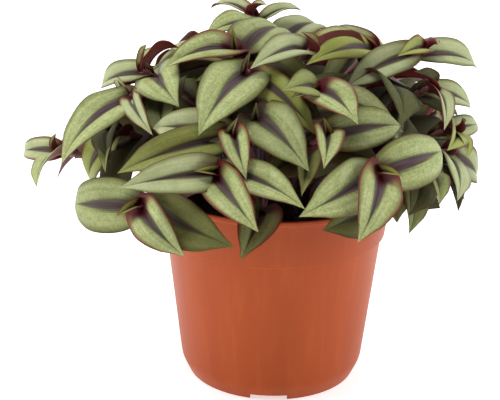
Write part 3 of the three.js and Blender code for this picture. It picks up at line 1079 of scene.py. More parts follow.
@dataclass(frozen=True)
class LeafTop(Finish):
    """The leaf's upper face: silver bands on green, a dark stripe along the midrib, a dark red margin.
    Its green darkens towards the margins and beside the stripe, partly in its own colour and partly
    by painted shade; painted shade also darkens the base and the leaves that lie beneath others.

    Masks run along the leaf from 0 at its base, and across it from 0 at the midrib to 1 at the margin.
    """

    title = "leaf_top"
    silver: Colour = srgb(170, 177, 127)
    silver_deep: Colour = srgb(119, 130, 70)
    frost: Colour = srgb(163, 169, 132)
    olive: Colour = srgb(142, 148, 60)
    green: Colour = srgb(82, 90, 36)
    umber: Colour = srgb(50, 46, 30)
    # The colour of the painted shade on leaves that lie beneath others or are tinted dark.
    shade: Colour = srgb(42, 40, 12)
    stripe: Colour = srgb(96, 76, 86)
    stripe_dark: Colour = srgb(46, 30, 33)
    margin: Colour = srgb(62, 40, 32)
    young_margin: Colour = srgb(104, 40, 34)
    rust: Colour = srgb(142, 88, 36)
    hollow: Colour = srgb(72, 14, 28)

    streaks: Grain = Grain(detail=3, roughness=0.6, rates=(9, 1.1, 31))
    veins: Grain = Grain(rates=(34, 1.4, 17))
    speckle: Grain = Grain(750, 4, 0.75)
    patches: Grain = Grain(110, 3)

    streak_mottle: Mask = Mask(0.3, 0.72, 0.45)
    speckle_mottle: Mask = Mask(0.38, 0.62, 0.45)
    olive_tones: Mask = Mask(0.5625, 1, 0.75)
    frosty_tones: Mask = Mask(0.3, 0.1, 0.6)
    green_veins: Mask = Mask(0.45, 0.7, 0.16)
    green_patches: Mask = Mask(0.45, 0.7, 0.2)
    base: Mask = Mask(0.36, 0)
    # The margin's darker green is partly its own colour and partly painted shade; the green at the base is
    # painted shade.
    fringe: Mask = Mask(0.66, 1, 0.75)
    base_shade: float = 0.45
    rusty: Mask = Mask(0.3, 0.9, 1.4)

    stripe_width: Aging = Aging(0.26, 0.05)
    stripe_end: float = 0.8
    stripe_taper: float = 2.2
    stripe_fray: float = 0.15
    stripe_cover: Aging = Aging(0.96, -0.1)
    pale_stripes: Mask = Mask(0.5, 0, 0.2)
    stripe_edge: Mask = Mask(-0.02, 0.08)
    # Beside the stripe the green and umber are partly the leaf's own colour and partly painted shade; the
    # umber at the base is painted shade.
    green_and_shade_halo: Mask = Mask(-0.2, 0.06, 0.5)
    umber_and_shade_halo: Mask = Mask(-0.1, 0.04, 0.75)
    umber_base_shade: Mask = Mask(0.05, 0.7, 0.85)
    dark_core: Mask = Mask(0.35, 0.65, 0.75)
    base_core: float = 0.7
    midrib: Mask = Mask(0.1, 0.01, 0.5)

    margin_from: Aging = Aging(0.948, -0.05)
    margin_cover: Aging = Aging(0.75, 0.2)
    margin_blur: float = 0.03
    blush_cover: Aging = Aging(0.15, 0.4)
    blush_before: float = 0.14
    blush_past: float = 0.04
    hollow_end: Aging = Aging(0.15, 0.2)
    hollow_curve: float = 0.12
    hollow_edge: Mask = Mask(-0.05, 0.1, 0.94)

    roughness: float = 0.4
    speckle_roughness: float = 0.2
    shade_roughness: float = 0.3
    vein_relief: float = 0.7
    speckle_relief: float = 0.3
    relief: tuple[float, float] = (0.00025, 0.6)
    glow: float = 0.06
    glow_depth: float = 0.002
    gloss: float = 0.12

    def dress(self, graph: Graph) -> None:
        """Paints the green, then the stripe, the margin, the hollow at the base and the painted shade.

        Args:
            graph: The graph that takes the finish.
        """
        along, across, _ = graph.attribute("place")
        # The third part of the tone is the leaf's painted shade.
        tone, youth, depth = graph.attribute("tone")
        span = abs(across)
        streaks = graph.noise(self.streaks, across, along, tone)
        veins = graph.noise(self.veins, across, along, tone)
        speckle = graph.noise(self.speckle, graph.position())
        patches = graph.noise(self.patches, graph.position())
        base = self.base.of(along)

        colour = graph.layered(
            self.silver,
            (self.streak_mottle.of(streaks) + self.speckle_mottle.of(speckle), self.silver_deep),
            (self.olive_tones.of(tone), self.olive),
            (self.frosty_tones.of(tone), self.frost),
            (self.green_veins.of(veins) + self.green_patches.of(patches), self.green),
            # Darker green towards the margins, partly own colour and partly painted shade, and painted shade
            # near the base.
            (self.fringe.of(span) + base * self.base_shade, self.green),
            (youth * base * self.rusty.of(span), self.rust),
        )

        taper = 1 - (along / self.stripe_end) ** self.stripe_taper
        half = self.stripe_width.at(youth) * taper + (veins - MIDDLE) * self.stripe_fray
        inside = half - span
        core = self.dark_core.of(streaks) + base * self.base_core
        cover = self.stripe_cover.at(youth) - self.pale_stripes.of(tone)
        colour = graph.layered(
            colour,
            # Beside the stripe, own colour with painted shade; near the base, painted shade in umber.
            (self.green_and_shade_halo.of(inside), self.green),
            (self.umber_and_shade_halo.of(inside), self.umber),
            (self.umber_base_shade.of(base + inside), self.umber),
            (self.stripe_edge.of(inside) * cover, graph.layered(self.stripe, (core, self.stripe_dark))),
            (self.midrib.of(span), self.umber),
        )

        edge = self.margin_from.at(youth)
        blush = span.rising(edge - self.blush_before, edge + self.blush_past) * self.blush_cover.at(youth)
        rim = span.rising(edge, edge + self.margin_blur) * self.margin_cover.at(youth)
        red = graph.layered(self.margin, (youth, self.young_margin))
        hollow = self.hollow_edge.of(self.hollow_end.at(youth) - along - span * self.hollow_curve)
        # The last layer is the painted shade of leaves that lie beneath others or are tinted dark.
        colour = graph.layered(colour, (blush, red), (rim, red), (hollow, self.hollow), (depth, self.shade))

        ribs = (veins - MIDDLE) * self.vein_relief + (speckle - MIDDLE) * self.speckle_relief
        unevenness = (speckle - MIDDLE) * self.speckle_roughness
        graph.set(
            Base_Color=colour,
            Roughness=self.roughness + unevenness + depth * self.shade_roughness,
            Normal=graph.bump(ribs, self.relief),
            Subsurface_Weight=self.glow,
            Subsurface_Scale=self.glow_depth,
            Specular_IOR_Level=self.gloss,
        )


@dataclass(frozen=True)
class LeafUnderside(Finish):
    """The leaf's lower face, dark wine red with paler ribs."""

    title = "leaf_underside"
    red: Colour = srgb(104, 32, 38)
    pale: Colour = srgb(140, 66, 62)
    dark: Colour = srgb(62, 20, 24)
    veins: Grain = Grain(detail=3, rates=(22, 1.2, 23))
    patches: Grain = Grain(120)
    pale_veins: Mask = Mask(0.5, 0.8, 0.6)
    pale_midrib: Mask = Mask(0.05, 0, 0.5)
    dark_patches: Mask = Mask(0.4, 0.7, 0.5)
    roughness: float = 0.45
    vein_roughness: float = 0.15
    relief: tuple[float, float] = (0.0003, 0.5)
    glow: float = 0.05
    glow_depth: float = 0.002

    def dress(self, graph: Graph) -> None:
        """Paints the red with pale veins and midrib and with dark patches.

        Args:
            graph: The graph that takes the finish.
        """
        along, across, _ = graph.attribute("place")
        tone, _, _ = graph.attribute("tone")
        veins = graph.noise(self.veins, across, along, tone)
        colour = graph.layered(
            self.red,
            (self.pale_veins.of(veins), self.pale),
            (self.pale_midrib.of(abs(across)), self.pale),
            (self.dark_patches.of(graph.noise(self.patches, graph.position())), self.dark),
        )
        graph.set(
            Base_Color=colour,
            Roughness=self.roughness + (veins - MIDDLE) * self.vein_roughness,
            Normal=graph.bump(veins, self.relief),
            Subsurface_Weight=self.glow,
            Subsurface_Scale=self.glow_depth,
        )


@dataclass(frozen=True)
class StemSkin(Finish):
    """The stems: glossy purple pink with paler sheaths at the joints, and dark green low down, which is
    partly their own colour and partly painted shade.
    """

    title = "stem_skin"
    pink: Colour = srgb(118, 60, 74)
    purple: Colour = srgb(66, 38, 48)
    # Nearly black: the stems' own green darkened by painted shade.
    green: Colour = srgb(34, 32, 22)
    sheath: Colour = srgb(112, 84, 68)
    streaks: Grain = Grain(detail=3, rates=(5, 6, 40))
    speckle: Grain = Grain(1600)
    purple_streaks: Mask = Mask(0.35, 0.7)
    green_and_shade_foot: Mask = Mask(0.85, 0.25, 0.75)
    purple_specks: Mask = Mask(0.6, 0.75, 0.3)
    sheath_cover: float = 0.6
    roughness: float = 0.36
    speckle_roughness: float = 0.2
    relief: tuple[float, float] = (0.0002, 0.5)

    def dress(self, graph: Graph) -> None:
        """Paints the pink with purple streaks, a dark green foot that is partly painted shade, specks and the
        sheaths.

        Args:
            graph: The graph that takes the finish.
        """
        along, side, sheath = graph.attribute("place")
        tone, _, _ = graph.attribute("tone")
        streaks = graph.noise(self.streaks, side, along, tone)
        speckle = graph.noise(self.speckle, graph.position())
        colour = graph.layered(
            self.pink,
            (self.purple_streaks.of(streaks), self.purple),
            # The foot: own green and painted shade inside the plant.
            (self.green_and_shade_foot.of(along), self.green),
            (self.purple_specks.of(speckle), self.purple),
            (sheath * self.sheath_cover, self.sheath),
        )
        graph.set(
            Base_Color=colour,
            Roughness=self.roughness + (speckle - MIDDLE) * self.speckle_roughness,
            Normal=graph.bump(streaks, self.relief),
        )


@dataclass(frozen=True)
class PotPlastic(Finish):
    """Satin terracotta-coloured plastic with the faint upright streaks of its moulding, and painted shade on
    the collar.
    """

    title = "pot_plastic"
    body: Colour = srgb(158, 67, 20)
    pale: Colour = srgb(172, 81, 31)
    dark: Colour = srgb(144, 58, 16)
    # The colour of the painted shade on the collar.
    collar: Colour = srgb(112, 42, 14)
    streaks: Grain = Grain(detail=3, roughness=0.6, rates=(190, 190, 7))
    bands: Grain = Grain(rates=(45, 45, 2))
    scuffs: Grain = Grain(detail=4, roughness=0.7, rates=(60, 60, 160))
    grain: Grain = Grain(1100)
    pale_streaks: Mask = Mask(0.42, 0.75, 0.5)
    dark_bands: Mask = Mask(0.4, 0.7, 0.5)
    scuffed: Mask = Mask(0.66, 0.74, 0.12)
    collar_painted_shade: Mask = Mask(0.066, 0.094, 0.3)
    roughness: float = 0.46
    streak_roughness: float = 0.14
    grain_relief: float = 0.4
    streak_relief: float = 0.6
    relief: tuple[float, float] = (0.00012, 0.5)
    gloss: float = 0.19

    def dress(self, graph: Graph) -> None:
        """Paints the streaks, the bands, the scuffs and painted shade on the collar, which the foliage
        overhangs.

        Args:
            graph: The graph that takes the finish.
        """
        x, y, z = graph.parts(graph.position())
        streaks = graph.noise(self.streaks, x, y, z)
        grain = graph.noise(self.grain, graph.position())
        scuffs = self.scuffed.of(graph.noise(self.scuffs, x, y, z))
        colour = graph.layered(
            self.body,
            (self.pale_streaks.of(streaks), self.pale),
            (self.dark_bands.of(graph.noise(self.bands, x, y, z)), self.dark),
            (scuffs, self.pale),
            # Painted shade on the collar, darker towards the rim.
            (self.collar_painted_shade.of(z), self.collar),
        )
        graph.set(
            Base_Color=colour,
            Roughness=self.roughness + (streaks - MIDDLE) * self.streak_roughness + scuffs,
            Normal=graph.bump(grain * self.grain_relief + streaks * self.streak_relief, self.relief),
            Specular_IOR_Level=self.gloss,
        )


@dataclass(frozen=True)
class SoilCrumbs(Finish):
    """Moist, dark potting soil with paler fibres."""

    title = "soil_crumbs"
    dark: Colour = srgb(28, 20, 16)
    brown: Colour = srgb(62, 44, 34)
    fibre: Colour = srgb(104, 78, 56)
    coarse: Grain = Grain(260, 5, 0.7)
    fine: Grain = Grain(1500, 3, 0.7)
    fibres: Grain = Grain(detail=3, roughness=0.6, rates=(1500, 240, 400))
    brown_parts: Mask = Mask(0.4, 0.65)
    fibre_parts: Mask = Mask(0.66, 0.74, 0.6)
    moist_parts: Mask = Mask(0.3, 0.5, 0.25)
    roughness: float = 0.92
    coarse_relief: float = 0.7
    fine_relief: float = 0.3
    relief: tuple[float, float] = (0.0014, 0.8)

    def dress(self, graph: Graph) -> None:
        """Paints the brown crumbs and the fibres.

        Args:
            graph: The graph that takes the finish.
        """
        place = graph.position()
        coarse = graph.noise(self.coarse, place)
        fine = graph.noise(self.fine, place)
        fibres = graph.noise(self.fibres, *graph.parts(place))
        colour = graph.layered(
            self.dark, (self.brown_parts.of(coarse), self.brown), (self.fibre_parts.of(fibres), self.fibre)
        )
        graph.set(
            Base_Color=colour,
            Roughness=self.roughness - self.moist_parts.of(coarse),
            Normal=graph.bump(coarse * self.coarse_relief + fine * self.fine_relief, self.relief),
        )


# ---- The plant -----------------------------------------------------------------------------------


def hump(share: float) -> float:
    """A parabola from 0 at both ends to 1 in the middle."""
    return 4 * share * (1 - share)


def hump_slope(share: float) -> float:
    """How steeply the parabola rises."""
    return 4 * (1 - 2 * share)


def fading(share: float, end: float) -> float:
    """A curve that falls from 1 at the start to 0 at an end, and stays there."""
    return max(0.0, 1 - share / end) ** 2


@dataclass(frozen=True)
class Blade:
    """The form of a leaf's blade: two rounded halves that rise from a sharp midrib.

    Where there is a number for each age, the youngest comes first, and grown leaves have their own.
    """

    rows: int = 20
    row_bias: float = 1.35
    columns: int = 8
    base_breadth: float = 0.34
    petiole: float = 0.1
    fullness: tuple[float, ...] = (0, 0.3, 0.5, 0.8)
    grown_fullness: float = 1
    point_taper: float = 0.85
    point_from: float = 0.8
    point_drawn: float = 0.4
    lobes: tuple[float, ...] = (0.04, 0.24, 0.26, 0.26)
    grown_lobe: float = 0.2
    lobe_end: float = 0.34
    lobe_lift: float = 0.3
    arch: float = 0.15
    flattening: float = 0.4
    bulge: float = 29
    cup: float = 38
    cup_end: float = 0.3
    cup_at_margin: float = 0.6
    bud_curl: float = 34
    steepest: float = 84
    wave: float = 0.07
    wave_count: float = 1.6
    wave_lag: float = 0.17
    tip_droop: float = 0.05
    tip_from: float = 0.75
    thickness: float = 0.5
    edge_thickness: float = 0.16
    tip_thinning: float = 6
    least_share: float = 0.1
    least_length: float = 1e-9

    def outline(self, age: int, shares: np.ndarray) -> np.ndarray:
        """Half the blade's width along it, where its widest is 1.

        Args:
            age: The leaf's age; an older leaf is fuller towards its point.
            shares: The places along the blade.

        Returns:
            The half width at each place.
        """
        fullness = self.fullness[age] if age < len(self.fullness) else self.grown_fullness
        widths = shares**self.base_breadth * (1 - shares) ** self.point_taper * (1 + fullness * shares)
        drawn = np.clip((shares - self.point_from) / (1 - self.point_from), 0, 1)
        widths = widths * (1 - self.point_drawn * drawn)
        return np.maximum(widths / widths.max(), self.petiole * (1 - shares))

    def section(self, leaf: Leaf, share: float, spans: np.ndarray) -> tuple[np.ndarray, np.ndarray]:
        """The curve of one half of the blade across it.

        Args:
            leaf: The leaf; the youngest curls inwards.
            share: The place along the blade.
            spans: The places across the half, from 0 at the midrib to 1 at the margin.

        Returns:
            How far out and how far up each place is, for a half of width 1.
        """
        cup = self.cup * fading(share, self.cup_end)
        flatness = 1 - self.flattening * share
        fold, bulge = leaf.fold * flatness, self.bulge * flatness
        near = min(fold + bulge + cup, self.steepest)
        far = fold - bulge + cup * self.cup_at_margin
        if leaf.age == 0:
            near, far = fold, fold + self.bud_curl
        start, sweep = math.radians(near), math.radians(far - near)
        out = (np.sin(start + sweep * spans) - math.sin(start)) / sweep
        up = (math.cos(start) - np.cos(start + sweep * spans)) / sweep
        return out, up

    def points(self, leaf: Leaf, phase: float) -> tuple[np.ndarray, np.ndarray]:
        """The blade's upper face.

        Args:
            leaf: The leaf.
            phase: Where its margin's waves start, in turns.

        Returns:
            The points, rows by columns by 3, and their places: along, across and 0.
        """
        along, face, across = leaf.axes()
        length = float(np.linalg.norm(leaf.reach))
        lobe = (self.lobes[leaf.age] if leaf.age < len(self.lobes) else self.grown_lobe) * leaf.width / 2
        half_columns = np.linspace(0, 1, self.columns)
        columns = np.concatenate([-half_columns[:0:-1], half_columns])
        spans, sides = np.abs(columns), np.sign(columns)
        points = np.empty((self.rows + 1, len(columns), 3))
        places = np.zeros_like(points)
        shares = np.linspace(0, 1, self.rows + 1) ** self.row_bias
        halves = leaf.width / 2 * self.outline(leaf.age, shares)
        for row, (share, half) in enumerate(zip(shares, halves)):
            rise = self.arch * length * hump(share)
            droop = self.tip_droop * length * max(0.0, (share - self.tip_from) / (1 - self.tip_from)) ** 2
            centre = leaf.base + leaf.reach * share + face * (rise - droop)
            tangent = unit(leaf.reach + face * (self.arch * length * hump_slope(share)))
            normal = unit(face - tangent * (face @ tangent))
            out, up = self.section(leaf, share, spans)
            turns = self.wave_count * share + phase + sides * self.wave_lag
            wave = self.wave * spans**2 * np.sin(2 * math.pi * turns)
            outward = (sides * half * out)[:, None] * across
            upward = (half * (up + wave))[:, None] * normal
            back = (lobe * spans**2 * fading(share, self.lobe_end))[:, None]
            points[row] = centre + outward + upward - back * (along - face * self.lobe_lift)
            places[row, :, 0] = share
            places[row, :, 1] = columns
        return points, places

    def add(self, leaf: Leaf, tone: np.ndarray, phase: float, mesh: Gathered) -> None:
        """Adds the blade's two faces and its margin to a mesh.

        Args:
            leaf: The leaf.
            tone: Its share of olive, its youth and its painted shade.
            phase: Where its margin's waves start, in turns.
            mesh: The mesh that gathers it.
        """
        top, places = self.points(leaf, phase)
        normals = np.cross(np.gradient(top, axis=0), np.gradient(top, axis=1))
        lengths = np.linalg.norm(normals, axis=2, keepdims=True)
        _, face, _ = leaf.axes()
        normals = np.where(
            lengths > self.least_length, normals / np.maximum(lengths, self.least_length), face
        )
        if (normals[self.rows // 2] @ face).sum() < 0:
            normals = -normals
        spans = np.abs(places[:, :, 1:2])
        depth = self.thickness + (self.edge_thickness - self.thickness) * spans**2
        depth = depth * np.clip((1 - places[:, :, 0:1]) * self.tip_thinning, self.least_share, 1)
        upper = mesh.add_grid(top, places, tone, Surface.TOP)
        lower = mesh.add_grid(top - normals * depth, places, tone, Surface.UNDERSIDE, flipped=True)
        rows, width = top.shape[:2]
        last = (rows - 1) * width
        for row in range(rows - 1):
            first, second = row * width, (row + 1) * width
            for start, end in ((first, second), (second + width - 1, first + width - 1)):
                mesh.add_face((upper + start, upper + end, lower + end, lower + start), Surface.TOP)
        for column in range(width - 1):
            for start, flipped in ((0, True), (last, False)):
                near, far = start + column, start + column + 1
                corners = (upper + near, upper + far, lower + far, lower + near)
                mesh.add_face(corners, Surface.TOP, flipped)


@dataclass(frozen=True)
class Shaft:
    """The form of a stem: round, swollen at each joint, with a sheath below each leaf."""

    radius: float = 1.9
    tip_radius: float = 1.1
    sides: int = 12
    rings: int = 44
    swelling: float = 0.35
    swelling_run: float = 2.2
    sheath_length: float = 6
    sheath_gap: float = 0.22
    sheath_flare: float = 0.6
    sheath_rings: int = 6

    def radius_at(self, share: float) -> float:
        """The plain radius at a share of the curve's own parameter."""
        return self.radius + (self.tip_radius - self.radius) * share

    def ring(self, stem: Stem, centre: np.ndarray, forward: np.ndarray, radius: float) -> np.ndarray:
        """One ring of points round the stem.

        Args:
            stem: The stem.
            centre: The ring's centre.
            forward: The direction that the ring faces.
            radius: Its radius.

        Returns:
            The points.
        """
        front = np.cross(stem.sideways, forward)
        angles = np.arange(self.sides) * 2 * math.pi / self.sides
        right = (radius * np.cos(angles))[:, None] * stem.sideways
        return centre + right + (radius * np.sin(angles))[:, None] * front

    def places(self, shares: Sequence[float], sheath: float) -> np.ndarray:
        """The places that the points of rings have on the stem.

        Args:
            shares: How far along the stem each ring is.
            sheath: 1 on a sheath, and 0 elsewhere.

        Returns:
            How far along and how far round each point is, and the number for the sheath.
        """
        grid = np.zeros((len(shares), self.sides, 3))
        grid[:, :, 0] = np.array(shares)[:, None]
        grid[:, :, 1] = np.abs(np.linspace(-1, 1, self.sides, endpoint=False))
        grid[:, :, 2] = sheath
        return grid

    def add(self, stem: Stem, leaves: Sequence[Leaf], tone: np.ndarray, mesh: Gathered) -> None:
        """Adds the stem and its sheaths to a mesh.

        Args:
            stem: The stem.
            leaves: The leaves that it carries.
            tone: Three numbers that its surface shares.
            mesh: The mesh that gathers it.
        """
        joints = np.array([leaf.base for leaf in leaves]).reshape(-1, 3)
        foot = stem.root * vector(1, 1, 0) + UP * (SOIL_TOP - ROOT_SUNK)
        rings = [self.ring(stem, foot, UP, self.radius)]
        shares = [0.0, *np.linspace(0, 1, self.rings)]
        for share in shares[1:]:
            centre = stem.path.point(share)
            gaps = np.linalg.norm(joints - centre, axis=1) / self.swelling_run
            swelling = self.swelling * float(np.exp(-(gaps**2)).max(initial=0))
            radius = self.radius_at(share) + swelling
            rings.append(self.ring(stem, centre, stem.path.forward(share), radius))
        start = mesh.add_grid(np.array(rings), self.places(shares, 0), tone, Surface.STEM, closed=True)
        last = start + (len(rings) - 1) * self.sides
        mesh.add_face(range(last, last + self.sides), Surface.STEM)
        mesh.add_face(range(start + self.sides - 1, start - 1, -1), Surface.STEM)
        for leaf in leaves:
            self.add_sheath(stem, NODE_BACK[leaf.age], tone, mesh)

    def add_sheath(self, stem: Stem, back: float, tone: np.ndarray, mesh: Gathered) -> None:
        """Adds the sleeve that a leaf's base makes round the stem below its joint.

        Args:
            stem: The stem.
            back: How far the joint is from the stem's tip.
            tone: Three numbers that its surface shares.
            mesh: The mesh that gathers it.
        """
        rings, shares = [], []
        top = 1 - back / stem.path.length
        for step in range(self.sheath_rings):
            grown = step / (self.sheath_rings - 1)
            below = (1 - grown) * self.sheath_length / stem.path.length
            share = stem.path.share_at(max(top - below, 0))
            shares.append(share)
            radius = self.radius_at(share) + self.swelling * grown + self.sheath_gap
            radius += self.sheath_flare * grown**3
            rings.append(self.ring(stem, stem.path.point(share), stem.path.forward(share), radius))
        mesh.add_grid(np.array(rings), self.places(shares, 1), tone, Surface.STEM, closed=True)


@dataclass(frozen=True)
class Foliage:
    """The leafy stems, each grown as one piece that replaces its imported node."""

    blade: Blade = Blade()
    shaft: Shaft = Shaft()
    spread: Spread = Spread()
    dome: Dome = field(default_factory=Dome)
    youth: tuple[float, ...] = (1, 0.8, 0.14)
    grown_length: float = 46
    growing_range: float = 8
    tint_spread: float = 0.2
    # The painted shade on the leaves: from the cover of leaves above, and a random share on leaves placed by
    # rule.
    tint_cover: float = 0.15
    shade: float = 0.25
    cover_shade: float = 0.85
    cover_above: float = 4
    cover_beside: float = 20
    cover_full: float = 3.5
    cover_light: float = 0.7
    seed: int = 4021

    def stems(self) -> Iterator[Stem]:
        """Every stem, those that show first."""
        for index, shoot in enumerate([*SHOOTS, *self.dome.shoots()]):
            yield Stem(shoot, index + 1)

    def cover(self, place: np.ndarray, places: np.ndarray) -> float:
        """How far the leaves above a place take its light, from 0 to 1.

        Args:
            place: The middle of a leaf.
            places: The middles of all leaves.

        Returns:
            The share of the light that they take.
        """
        light = unit(unit(place - HEART) + UP * self.cover_light)
        offsets = places - place
        above = offsets @ light
        beside = np.linalg.norm(offsets - above[:, None] * light, axis=1)
        shading = np.exp(-((beside / self.cover_beside) ** 2)) * (above > self.cover_above)
        return min(float(shading.sum()) / self.cover_full, 1)

    def tone(self, leaf: Leaf, middles: np.ndarray, draws: Draws) -> np.ndarray:
        """How olive and how young a leaf is, and its painted shade; those that grow beneath others carry the
        most.

        Args:
            leaf: The leaf.
            middles: The middles of all leaves.
            draws: The draws that vary it.

        Returns:
            The three shares.
        """
        youth = self.youth[leaf.age] if leaf.age < len(self.youth) else 0
        length = float(np.linalg.norm(leaf.reach))
        youth *= min(max((self.grown_length - length) / self.growing_range, 0), 1)
        cover = self.cover(leaf.middle, middles)
        first, second = draws.draw(), draws.draw()
        # Leaves placed by rule carry painted shade from the cover above and a random share; shown leaves from
        # their tint.
        if leaf.tint is None:
            return vector(first, youth, cover * self.cover_shade + self.shade * second**2)
        olive, dark = leaf.tint.value
        return vector(olive + (first - MIDDLE) * self.tint_spread, youth, dark + cover * self.tint_cover)

    def build(self) -> list[bpy.types.Object]:
        """Grows and dresses the stems.

        Returns:
            One piece for each leafy stem.
        """
        materials = [finish.material() for finish in (LeafTop(), LeafUnderside(), StemSkin())]
        draws = Draws(self.seed)
        grown = [(stem, stem.grown_leaves(self.spread)) for stem in self.stems()]
        middles = np.array([leaf.middle for _, leaves in grown for leaf in leaves])
        pieces = []
        for stem, leaves in grown:
            mesh = Gathered()
            self.shaft.add(stem, leaves, vector(draws.draw(), 0, 0), mesh)
            for leaf in leaves:
                tone = self.tone(leaf, middles, draws)
                self.blade.add(leaf, tone, draws.draw(), mesh)
            piece = mesh.piece(f"grown_{stem.shoot.name}", materials)
            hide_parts(stem.node)
            pieces.append(dressed(piece))
        return pieces


# ---- The pot and its soil ------------------------------------------------------------------------


@dataclass(frozen=True)
class Pot:
    """The moulded nursery pot: a foot ring with notches, a tapered wall, a deep collar and a lip."""

    height: float = 100
    rim_radius: float = 60
    lip_height: float = 3.2
    collar_top_radius: float = 58.2
    collar_bottom_radius: float = 55.2
    collar_bottom: float = 74.5
    wall_top_radius: float = 53.6
    wall_bottom_radius: float = 45.6
    chamfer_top: float = 8
    foot_radius: float = 41.8
    foot_width: float = 3
    wall: float = 1.4
    base_under: float = 3
    base_top: float = 4.5
    pad_radius: float = 12
    ledge: float = 0.6
    lip_slope: float = 1.2
    rim_width: float = 1.3
    rim_slope: float = 2.4
    step_above: float = 1.5
    step_below: float = 1
    fine_round: float = 0.3
    round: float = 0.4
    foot_inner_round: float = 0.5
    rim_inner_round: float = 0.6
    outer_round: float = 0.7
    ledge_round: float = 0.35
    chamfer_round: float = 2.4
    chamfer_inner_round: float = 1.2
    base_round: float = 1
    notch_count: int = 4
    notch_width: float = 18
    notch_height: float = 2.9
    notch_angle: float = -92
    notch_reach: float = 9
    drain_count: int = 6
    drain_radius: float = 3.6
    drain_ring: float = 27
    drain_depth: float = 18
    drain_segments: int = 24
    segments: int = 144
    sharp_angle: float = 35

    def outline(self) -> list[tuple[float, float]]:
        """The pot's section.

        Returns:
            Radii and heights, from the middle of the underside round the rim to the middle of the inside.
        """
        inner_foot = self.foot_radius - self.foot_width
        lip = self.height - self.lip_height
        outer = [
            (0, 0, 0),
            (self.pad_radius, 0, self.fine_round),
            (self.pad_radius, self.base_under, self.fine_round),
            (inner_foot, self.base_under, self.fine_round),
            (inner_foot, 0, self.foot_inner_round),
            (self.foot_radius, 0, self.outer_round),
            (self.wall_bottom_radius, self.chamfer_top, self.chamfer_round),
            (self.wall_top_radius, self.collar_bottom, self.fine_round),
            (self.collar_bottom_radius, self.collar_bottom + self.ledge, self.ledge_round),
            (self.collar_top_radius, lip, self.fine_round),
            (self.rim_radius, lip + self.lip_slope, self.round),
            (self.rim_radius, self.height, self.outer_round),
        ]
        inner = [
            (self.rim_radius - self.rim_width, self.height, self.round),
            (self.collar_top_radius - self.wall, self.height - self.rim_slope, self.rim_inner_round),
            (self.collar_bottom_radius - self.wall, self.collar_bottom + self.step_above, self.round),
            (self.wall_top_radius - self.wall, self.collar_bottom - self.step_below, self.round),
            (self.wall_bottom_radius - self.wall, self.chamfer_top, self.chamfer_inner_round),
            (self.foot_radius - self.wall, self.base_top, self.base_round),
            (0, self.base_top, 0),
        ]
        return rounded([*outer, *inner])

    def cutters(self) -> list[bpy.types.Object]:
        """Makes the shapes that cut the pot.

        Returns:
            The boxes for the foot's notches and the posts for the drain holes.
        """
        made = []
        for index in range(self.notch_count):
            angle = math.radians(self.notch_angle + 360 / self.notch_count * index)
            box = bmesh.new()
            bmesh.ops.create_cube(box, size=1)
            size = vector(self.notch_reach, self.notch_width, self.notch_height * 2) * MM
            place = Matrix.Rotation(angle, 4, "Z") @ Matrix.Translation((self.foot_radius * MM, 0, 0))
            box.transform(place @ Matrix.Diagonal((*size, 1)))
            made.append(linked(f"notch_{index}", meshed(box, f"notch_{index}")))
        for index in range(self.drain_count):
            angle = 2 * math.pi * (index + 0.5) / self.drain_count
            ring, radius = self.drain_ring * MM, self.drain_radius * MM
            post = bmesh.new()
            form = {"segments": self.drain_segments, "depth": self.drain_depth * MM}
            bmesh.ops.create_cone(post, cap_ends=True, radius1=radius, radius2=radius, **form)
            post.transform(Matrix.Translation((ring * math.cos(angle), ring * math.sin(angle), 0)))
            made.append(linked(f"drain_{index}", meshed(post, f"drain_{index}")))
        return made

    def build(self) -> bpy.types.Object:
        """Builds and dresses the pot.

        Returns:
            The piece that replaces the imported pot.
        """
        blank = linked("pot_blank", turned_mesh("pot_blank", self.outline(), self.segments))
        cutters = self.cutters()
        for cutter in cutters:
            cut = blank.modifiers.new(cutter.name, "BOOLEAN")
            cut.object = cutter
            cut.solver = "EXACT"
        graph = bpy.context.evaluated_depsgraph_get()
        mesh = smooth(bpy.data.meshes.new_from_object(blank.evaluated_get(graph)))
        mesh.name = "pot_shell"
        for spent in [blank, *cutters]:
            bpy.data.objects.remove(spent)
        mesh.set_sharp_from_angle(angle=math.radians(self.sharp_angle))
        mesh.materials.clear()
        mesh.materials.append(PotPlastic().material())
        piece = linked("pot_shell", mesh)
        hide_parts("pot")
        return dressed(piece)


